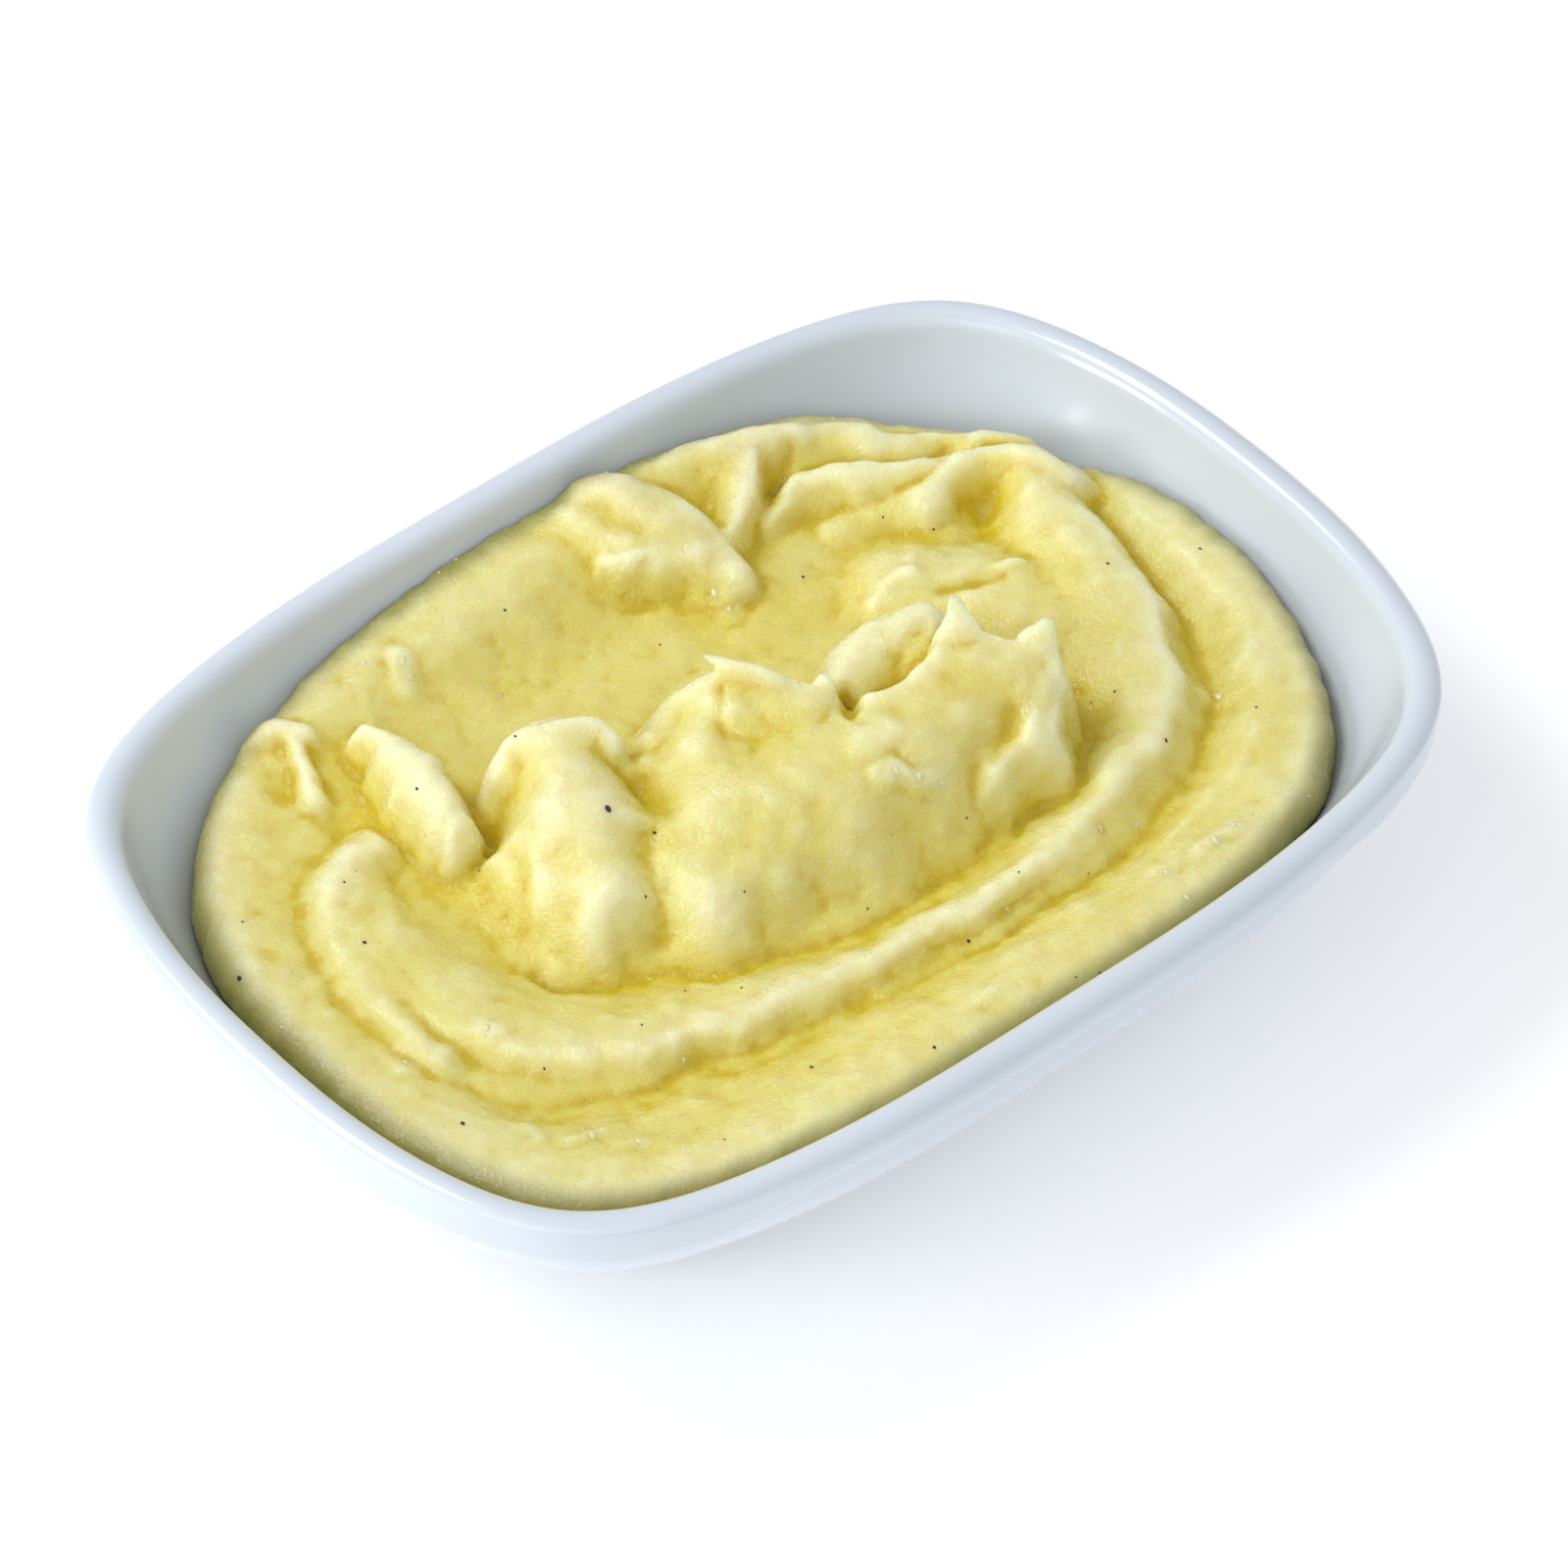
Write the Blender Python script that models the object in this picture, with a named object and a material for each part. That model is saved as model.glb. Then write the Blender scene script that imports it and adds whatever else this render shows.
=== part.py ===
"""Mashed potato side: a rounded-rectangle porcelain dish filled with swirled mashed potato.

Metres, +Z up. The origin is at the centre of the foot, on the resting plane, and +X runs
along the dish's long side. A section through the dish is written as pairs of inset (how far
in from the rim's outer edge) and depth (how far below the rim's top). Lists in mm say so.
"""
import math

import bmesh
import bpy

MM = 0.001

# Dish, overall
LENGTH = 165.0 * MM
WIDTH = 119.4 * MM
HEIGHT = 38.0 * MM

# Outline: a superellipse whose corners are trimmed a little
CORNER_POWER = 5.36
CORNER_TRIM = 0.0493
SIDE_TRIM = 0.0149
SKEW_TRIM = 0.0095
CORNER_OFFSET = 0.14

# Rim: a rounded bead whose outer face hangs lower at the corners and the short ends
RIM_WIDTH = 5.1 * MM
RIM_ROUND = 2.2 * MM
RIM_UNDERCUT = 1.1 * MM
RIM_FACE_SIDE = 3.9 * MM
RIM_FACE_CORNER = 6.8 * MM
RIM_DROP_START = math.radians(66)
RIM_DROP_END = math.radians(54)
NECK = (1.8 * MM, 0.7 * MM)

# Wall, foot ring and floor, as (inset, depth) in mm
OUTER_WALL = ((2.2, 10.0), (6.3, 16.0), (11.0, 22.0), (16.0, 28.0), (20.6, 33.0), (24.3, 36.6))
INNER_WALL = (
    (5.1, 2.2), (6.4, 5.5), (8.8, 10.0), (12.0, 16.0),
    (15.9, 22.0), (20.6, 28.0), (25.6, 31.8), (31.0, 33.6),
)
FOOT_INSET = 25.5 * MM
FOOT_WIDTH = 2.4 * MM
FOOT_RECESS = 1.2 * MM
RECESS_SLOPE = 1.0 * MM
WALL_CORNER_EXTRA = 4.2 * MM

# Mashed potato, overall
GAP = 0.35 * MM
POTATO_BOTTOM = INNER_WALL[-1][1] * MM - GAP
BASE_TOP = -9.0
BANK_RISE = 3.6
BANK_CENTRE = 9.0
BANK_HALF_WIDTH = 9.5
SHOULDER = 4.5 * MM
SHOULDER_POWER = 2.2
BLEND = 0.8
FOLD_DROP = 6.5

# How deep the potato meets the wall, in mm: a mean and waves of (times round, size, phase)
EDGE_DEPTH = 7.2
EDGE_WAVES = ((1, 1.2, math.radians(10)), (2, 1.2, 0.0), (4, -1.9, 0.0))

# Mesh density
DISH_SEGMENTS = 72
CORNER_CROWDING = 0.09
BEAD_STEPS = 3
POTATO_SEGMENTS = 84
POTATO_RINGS = 27
POTATO_WALL_RINGS = 5

# Grooves left by the spoon: a path of (x, y), how deep and how wide, in mm
GROOVES = {
    "outer": (((67, 17), (61, 0), (56, -19), (45, -29), (25, -33), (0, -35), (-25, -33), (-45, -28),
               (-57, -21)), 2.4, 3.6),
    "inner": (((46, -8), (37, -16), (20, -22), (0, -24), (-18, -18), (-31, -8), (-36, 2), (-35, 13)),
              3.0, 4.4),
    "left": (((-45, 26), (-54, 14), (-57, 2), (-56, -10), (-50, -17)), 1.0, 4.0),
    "hollow": (((-16, 34), (0, 30), (14, 28), (28, 23), (40, 14), (46, 2)), 1.6, 11.0),
}

# Folds of potato: a path of (x, y, top from the rim's top, half width), in mm
FOLDS = {
    "crescent": ((58, 14, -5.2, 9), (56, -4, -5.0, 9), (49, -19, -6.0, 8), (28, -28, -7.4, 6),
                 (2, -29, -7.6, 6), (-22, -26, -7.4, 6), (-44, -18, -7.0, 8), (-53, -4, -6.2, 8),
                 (-52, 12, -6.0, 7)),
    "mound": ((-14, -3, -1.5, 12), (4, -6, 0.6, 14), (20, -8, 1.6, 13), (33, -11, 0.6, 9)),
    "left_crest": ((1, 11, 3.8, 4), (3, 6, 2.2, 7), (6, 0, 1.4, 9)),
    "middle_crest": ((3, 9, 2.2, 5), (12, 2, 1.8, 5)),
    "right_crest": ((30, -1, 5.6, 4), (32, -6, 3.6, 7), (34, -10, 2.4, 8)),
    "shoulder": ((39, -10, 2.6, 4), (38, -14, 1.0, 6)),
    "folded_hollow": ((18, 8, -2.0, 5), (24, 10, -1.2, 5), (29, 6, -0.6, 5)),
    "small_dome": ((-7, 12, -1.6, 6), (-4, 8, -1.8, 6)),
    "left_lobe": ((-21, 18, 0.6, 6), (-25, 10, 1.6, 8), (-29, 2, 1.4, 8.5), (-31, -6, -2.2, 6)),
    "finger": ((-34, 38, -3.2, 4), (-34, 30, -1.0, 5.5), (-35, 21, 0.2, 6), (-35, 12, -1.2, 5)),
    "upper_fold": ((11, 48, -1.8, 7), (11, 42, -2.2, 8), (15, 36, -4.0, 8)),
    "upper_lip": ((2, 44, -2.0, 5), (5, 38, -3.4, 5), (12, 33, -4.6, 5)),
    "top_fold": ((24, 46, -3.0, 6), (33, 43, -2.8, 7), (31, 38, -4.0, 5)),
    "top_ridge": ((34, 40, -5.0, 6), (46, 35, -4.4, 6), (56, 29, -4.4, 6)),
    "top_thumb": ((52, 24, -4.6, 6), (60, 23, -3.8, 6), (63, 12, -4.6, 7)),
    "left_lump": ((-46, 47, -4.6, 5), (-40, 42, -5.0, 5)),
    "left_ridge": ((-46, 24, -5.2, 5), (-57, 12, -5.2, 5), (-61, -3, -5.0, 5), (-58, -13, -5.0, 5)),
}


def clear_scene():
    """Start from an empty scene."""
    for item in list(bpy.data.objects):
        bpy.data.objects.remove(item, do_unlink=True)


def smooth(value):
    """Ease from 0 to 1."""
    value = min(max(value, 0.0), 1.0)
    return value * value * (3.0 - 2.0 * value)


def turns(count):
    """Steps round the stretched circle, closer together at the corners."""
    even = [2.0 * math.pi * index / count for index in range(count)]
    return [turn + CORNER_CROWDING * math.sin(4.0 * turn) for turn in even]


def outline_point(turn, inset, depth):
    """A point (x, y) at this turn of the stretched circle, moved in by the inset at this depth."""
    cos, sin = math.cos(turn), math.sin(turn)
    corner = math.sin(2.0 * turn) ** 2
    reach = (abs(cos) ** CORNER_POWER + abs(sin) ** CORNER_POWER) ** (-1.0 / CORNER_POWER)
    reach *= 1.0 - SKEW_TRIM * corner * math.cos(2.0 * turn) - SIDE_TRIM * corner - CORNER_TRIM * corner ** 2
    inward = inset * (1.0 - CORNER_OFFSET * corner) + WALL_CORNER_EXTRA * depth / HEIGHT * corner ** 2
    return (LENGTH / 2 - inward) * reach * cos, (WIDTH / 2 - inward) * reach * sin


def rim_face(turn):
    """The height of the rim's outer face at this turn."""
    quarter_turn = math.atan2(abs(math.sin(turn)), abs(math.cos(turn)))
    drop = smooth((RIM_DROP_START - quarter_turn) / (RIM_DROP_START - RIM_DROP_END))
    return RIM_FACE_SIDE + (RIM_FACE_CORNER - RIM_FACE_SIDE) * drop


def wall_inset(wall, depth):
    """The inset, in metres, of a wall given as (inset, depth) pairs in mm."""
    level = depth / MM
    for (inset_a, depth_a), (inset_b, depth_b) in zip(wall, wall[1:]):
        if level <= depth_b:
            part = max(0.0, (level - depth_a) / (depth_b - depth_a))
            return (inset_a + (inset_b - inset_a) * part) * MM
    return wall[-1][0] * MM


def bead_arc(centre_inset, start, end):
    """Points of one of the bead's rounded edges, from one angle in degrees to another."""
    points = []
    for step in range(BEAD_STEPS + 1):
        angle = math.radians(start + (end - start) * step / BEAD_STEPS)
        inset = centre_inset + RIM_ROUND * math.cos(angle)
        points.append((inset, RIM_ROUND - RIM_ROUND * math.sin(angle)))
    return points


def dish_section(turn):
    """The dish's section, from the underside's middle round the rim to the floor."""
    face = rim_face(turn)
    section = [(FOOT_INSET + FOOT_WIDTH + RECESS_SLOPE, HEIGHT - FOOT_RECESS)]
    section += [(FOOT_INSET + FOOT_WIDTH, HEIGHT), (FOOT_INSET, HEIGHT)]
    section += [(inset * MM, depth * MM) for inset, depth in reversed(OUTER_WALL)]
    section += [(NECK[0], face + NECK[1]), (RIM_UNDERCUT, face), (0.0, face - RIM_UNDERCUT)]
    section += bead_arc(RIM_ROUND, 180, 90)
    section += bead_arc(RIM_WIDTH - RIM_ROUND, 90, 0)
    section += [(inset * MM, depth * MM) for inset, depth in INNER_WALL[1:]]
    return section


def close_rings(name, rings):
    """One closed body from rings of points, from the bottom's middle to the top's middle."""
    sheet = bmesh.new()
    loops = []
    for ring in rings:
        verts = [sheet.verts.new(point) for point in ring]
        loops.append([sheet.edges.new(pair) for pair in zip(verts, verts[1:] + verts[:1])])
    for lower, upper in zip(loops, loops[1:]):
        bmesh.ops.bridge_loops(sheet, edges=lower + upper)
    for loop in (loops[0], loops[-1]):
        cap = bmesh.ops.contextual_create(sheet, geom=loop)
        bmesh.ops.poke(sheet, faces=cap["faces"])
    bmesh.ops.recalc_face_normals(sheet, faces=sheet.faces)
    mesh = bpy.data.meshes.new(name)
    sheet.to_mesh(mesh)
    sheet.free()
    mesh.shade_smooth()
    body = bpy.data.objects.new(name, mesh)
    bpy.context.scene.collection.objects.link(body)
    return body


def make_dish():
    """The porcelain dish: foot ring, flared wall, rounded rim and flat floor."""
    columns = []
    for turn in turns(DISH_SEGMENTS):
        section = dish_section(turn)
        columns.append([(*outline_point(turn, inset, depth), HEIGHT - depth) for inset, depth in section])
    return close_rings("dish", zip(*columns))


def edge_depth(turn):
    """The depth at which the potato meets the wall."""
    waves = [size * math.cos(times * turn - phase) for times, size, phase in EDGE_WAVES]
    return (EDGE_DEPTH + sum(waves)) * MM


def nearest_on(path, x, y):
    """How far (x, y) is from a path, and the index and part of the nearest stretch."""
    nearest = (math.inf, 0, 0.0)
    for index, (start, end) in enumerate(zip(path, path[1:])):
        run_x, run_y = end[0] - start[0], end[1] - start[1]
        part = ((x - start[0]) * run_x + (y - start[1]) * run_y) / (run_x ** 2 + run_y ** 2)
        part = min(max(part, 0.0), 1.0)
        away = math.hypot(x - start[0] - part * run_x, y - start[1] - part * run_y)
        nearest = min(nearest, (away, index, part))
    return nearest


def fold_top(path, x, y):
    """The height of one rounded fold at (x, y), in mm from the rim's top."""
    away, index, part = nearest_on(path, x, y)
    start, end = path[index], path[index + 1]
    top = start[2] + (end[2] - start[2]) * part
    half_width = start[3] + (end[3] - start[3]) * part
    return top - FOLD_DROP * (away / half_width) ** 2


def soft_max(first, second):
    """The larger of two heights, blended where they are close."""
    part = max(BLEND - abs(first - second), 0.0) / BLEND
    return max(first, second) + part ** 2 * BLEND / 4.0


def potato_top(x, y, wall_gap):
    """The potato's height at (x, y), in mm from the rim's top, wall_gap mm from the wall."""
    top = BASE_TOP + BANK_RISE * math.exp(-((wall_gap - BANK_CENTRE) / BANK_HALF_WIDTH) ** 2)
    for path, deep, wide in GROOVES.values():
        top -= deep * math.exp(-(nearest_on(path, x, y)[0] / wide) ** 2)
    for path in FOLDS.values():
        top = soft_max(top, fold_top(path, x, y))
    return top


def potato_column(turn):
    """The potato's points at one turn, up the wall and then inwards over the top."""
    edge = edge_depth(turn)
    column = []
    for step in range(POTATO_WALL_RINGS + 1):
        depth = POTATO_BOTTOM + (edge - POTATO_BOTTOM) * step / POTATO_WALL_RINGS
        inset = wall_inset(INNER_WALL, depth) + 2.0 * GAP
        column.append((*outline_point(turn, inset, depth), HEIGHT - depth))
    edge_x, edge_y, _ = column[-1]
    for step in range(1, POTATO_RINGS):
        inward = step / POTATO_RINGS
        x, y = edge_x * (1.0 - inward), edge_y * (1.0 - inward)
        wall_gap = math.hypot(edge_x, edge_y) * inward
        rise = 1.0 - (1.0 - min(wall_gap / SHOULDER, 1.0)) ** SHOULDER_POWER
        top = potato_top(x / MM, y / MM, wall_gap / MM) * MM
        column.append((x, y, HEIGHT - edge + (top + edge) * rise ** (1.0 / SHOULDER_POWER)))
    return column


def make_potato():
    """The mashed potato: it fills the dish, with a swirled top and a gap to the wall."""
    columns = [potato_column(turn) for turn in turns(POTATO_SEGMENTS)]
    return close_rings("mashed_potato", zip(*columns))


def paint(body, name, colour, roughness, subsurface):
    """Give a body its own plain material."""
    material = bpy.data.materials.new(name)
    material.use_nodes = True
    material.diffuse_color = (*colour, 1.0)
    shader = material.node_tree.nodes["Principled BSDF"]
    shader.inputs["Base Color"].default_value = (*colour, 1.0)
    shader.inputs["Roughness"].default_value = roughness
    shader.inputs["Metallic"].default_value = 0.0
    shader.inputs["Subsurface Weight"].default_value = subsurface
    body.data.materials.append(material)


def main():
    clear_scene()
    paint(make_dish(), "glazed_porcelain", (0.80, 0.84, 0.88), 0.12, 0.0)
    paint(make_potato(), "mashed_potato", (0.80, 0.73, 0.30), 0.42, 0.3)


main()
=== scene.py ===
"""Mashed potato side: a glazed porcelain dish of swirled mashed potato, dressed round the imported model.

Metres, +Z up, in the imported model's frame: the origin is under the middle of the foot, and +X runs
along the dish's long side. Paths on the potato are in mm, with heights from the top of the rim.
"""
import math

import bmesh
import bpy
import numpy as np
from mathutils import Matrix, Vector


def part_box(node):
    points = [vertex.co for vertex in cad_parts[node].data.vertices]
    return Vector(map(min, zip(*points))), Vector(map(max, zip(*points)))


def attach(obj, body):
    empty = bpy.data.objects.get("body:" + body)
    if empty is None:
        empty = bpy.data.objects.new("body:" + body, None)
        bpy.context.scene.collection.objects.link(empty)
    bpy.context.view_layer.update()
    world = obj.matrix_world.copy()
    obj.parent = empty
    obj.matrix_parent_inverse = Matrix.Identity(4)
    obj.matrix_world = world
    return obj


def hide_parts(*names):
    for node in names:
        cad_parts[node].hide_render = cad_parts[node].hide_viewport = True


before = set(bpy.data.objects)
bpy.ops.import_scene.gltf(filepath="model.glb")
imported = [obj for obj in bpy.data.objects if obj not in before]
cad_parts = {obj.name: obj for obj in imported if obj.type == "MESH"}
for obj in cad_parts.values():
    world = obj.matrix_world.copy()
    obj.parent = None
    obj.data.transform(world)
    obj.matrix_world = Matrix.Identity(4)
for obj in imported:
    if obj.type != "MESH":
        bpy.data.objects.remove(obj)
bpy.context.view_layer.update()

MM = 0.001
FULL_TURN = 2.0 * math.pi
DISH_LOW, DISH_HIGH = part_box("dish")
HEIGHT = DISH_HIGH.z
LENGTH = DISH_HIGH.x - DISH_LOW.x
WIDTH = DISH_HIGH.y - DISH_LOW.y

# Outline of the dish: a superellipse whose corners are trimmed a little
CORNER_POWER = 5.36
CORNER_TRIM = 0.0493
SIDE_TRIM = 0.0149
SKEW_TRIM = 0.0095
CORNER_OFFSET = 0.14
CORNER_CROWDING = 0.09
WALL_CORNER_EXTRA = 4.2 * MM

# Dish section as (inset, depth, share of the corner's extra drop), in mm, from the middle of the
# underside round the rim to the middle of the floor
DISH_SECTION = (
    (59.7, 36.8, 0), (52, 36.8, 0), (44, 36.8, 0), (37, 36.8, 0), (32, 36.8, 0), (29.8, 36.8, 0),
    (28.6, 36.95, 0), (28.1, 37.3, 0), (27.8, 37.75, 0), (27.2, 38, 0), (26.4, 38, 0), (25.7, 37.8, 0),
    (25.2, 37.3, 0), (24.6, 36.7, 0), (23.2, 35.5, 0), (20.6, 33, 0), (18.2, 30.4, 0), (15.7, 27.6, 0),
    (13.3, 24.8, 0), (10.9, 21.9, 0), (8.5, 18.8, 0), (6.2, 15.7, 0), (4.1, 12.7, 0), (2.9, 10.4, 0.05),
    (2.25, 8.2, 0.25), (1.95, 6.4, 0.55), (1.7, 5.1, 0.9), (1.35, 4.4, 1), (0.85, 4, 1), (0.4, 3.6, 1),
    (0.1, 3, 1), (0, 2.5, 0.75), (0.05, 2, 0.35), (0.28, 1.25, 0), (0.75, 0.62, 0), (1.4, 0.2, 0),
    (2.1, 0.02, 0), (2.8, 0, 0), (3.5, 0.15, 0), (4.15, 0.55, 0), (4.7, 1.2, 0), (5.1, 2.1, 0),
    (5.55, 3.4, 0), (6.3, 5.3, 0), (7.4, 7.6, 0), (8.8, 10.1, 0), (10.4, 13, 0), (12.1, 16, 0),
    (14, 19.1, 0), (16.2, 22.3, 0), (18.6, 25.4, 0), (21.2, 28.2, 0), (24.2, 30.8, 0), (27.6, 32.6, 0),
    (31.6, 33.5, 0), (36, 33.6, 0), (42, 33.6, 0), (50, 33.6, 0), (59.7, 33.6, 0),
)
DISH_SIZES = {
    "Length": LENGTH, "Width": WIDTH, "Height": HEIGHT, "Corner Power": CORNER_POWER,
    "Corner Trim": CORNER_TRIM, "Side Trim": SIDE_TRIM, "Skew Trim": SKEW_TRIM,
    "Corner Offset": CORNER_OFFSET, "Corner Crowding": CORNER_CROWDING,
    "Wall Corner Extra": WALL_CORNER_EXTRA, "Rim Drop": 2.9 * MM, "Drop Start": math.radians(66),
    "Drop End": math.radians(54), "Gather Inset": 32.0 * MM, "Turns": 300, "Section Steps": 3,
}
MERGE_DISTANCE = 1e-6

# Inner wall that the potato lies against, as (inset, depth) in mm
INNER_WALL = (
    (5.1, 2.2), (6.4, 5.5), (8.8, 10), (12, 16), (15.9, 22), (20.6, 28), (25.6, 31.8), (31, 33.6),
)
FLOOR_CLEARANCE = 0.16 * MM
WALL_CLEARANCE = 1.6 * FLOOR_CLEARANCE

# Potato mass, in mm: the floor of its swirls, how far its bank reaches from the wall, and the
# shoulder where it turns down to the wall
BASE_TOP = -9.4
BANK_START = 5.5
BANK_FADE = 8.5
SHOULDER = 4.2
SHOULDER_POWER = 2.2

# Round the dish, at each turn in degrees: how deep the potato meets the wall, and its bank's top
EDGE = (
    (0, 9.2, -6.9), (13, 10, -7.8), (22, 13.2, -9), (31, 14.6, -8.8), (40, 15.4, -8.8), (48, 14.2, -8),
    (54, 10.6, -6), (61, 7.8, -5), (70, 5.8, -4.4), (78, 4.4, -3.9), (85, 3.6, -3.8), (92, 3.8, -3.9),
    (99, 4.2, -4.2), (108, 6.2, -5), (118, 8.8, -5.8), (124, 9.8, -6.6), (129, 11.8, -7.4), (134, 13.6, -8),
    (141, 14.4, -8.2), (150, 13.6, -7.8), (165, 11.4, -7.2), (180, 10.2, -6.8), (192, 9.6, -6.4),
    (205, 9.2, -6.3), (225, 9.6, -6.4), (250, 8, -6.2), (270, 7.4, -6.2), (290, 8.4, -6.6), (305, 12, -8),
    (316, 14.4, -8.8), (323, 14.2, -8.7), (337, 12, -7.8), (352, 9.6, -6.9),
)

# Over how many turns each way the edge is smoothed, and its small waves, in mm
EDGE_SOFTENING = 10
EDGE_WAVES = 22.0
EDGE_WAVE_DEPTH = 0.35
EDGE_SEED = 9

# How finely the potato is made
POTATO_TURNS = 560
POTATO_RINGS = 190
RING_SPREAD = 0.9
WALL_RINGS = 12
SPLINE_STEPS = 6
TIP_STEPS = 5
TIP_SIDES = 20
REMESH_SIZE = 0.56 * MM
MOST_FACES = 192000

# What doesn't show, and so may be thinned: all below this depth, and what lies this close to the
# wall and this far under the edge, in mm
HIDDEN_DEPTH = 16.5 * MM
HIDDEN_GAP = 1.0
HIDDEN_DROP = 0.6
FARTHEST_GAP = 50.0

# Broad dips left by the spoon: a path of (x, y, depth, half width), in mm
DIPS = {
    "outer_groove": ((67, 19, 1, 2.6), (64.8, 8, 2, 2.8), (62.4, -5, 2.2, 3), (59, -16, 2.2, 3),
        (53.6, -23.5, 2.2, 3), (43, -30.4, 2, 3), (25, -35.2, 1.9, 2.8), (0, -36, 1.7, 2.8),
        (-25, -33, 1.5, 2.8), (-44, -28.5, 1.5, 3), (-56, -22, 1.2, 3), (-61, -13, 0.6, 3)),
    "inner_groove": ((52, 2, 0.8, 4), (46, -7, 1.8, 3.4), (40, -14, 2, 3), (32, -19, 2, 2.8),
        (22, -22.6, 1.8, 2.6), (6, -25, 1.7, 2.6), (-7, -24.4, 1.7, 2.6), (-20, -20, 1.8, 2.8),
        (-32.6, -12.4, 2.2, 3), (-40, -5, 2.2, 3.2), (-41, 5, 1.2, 3.4), (-41, 15, 0.8, 3.6)),
    "left_groove": ((-45, 27, 1.2, 4), (-54, 15, 1.2, 4), (-58, 4, 1, 4), (-57, -8, 0.8, 4)),
    "hollow": ((-20, 34, 0.6, 9), (0, 30, 1.2, 11), (14, 26, 1.3, 11), (28, 21, 1, 9)),
}

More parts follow.
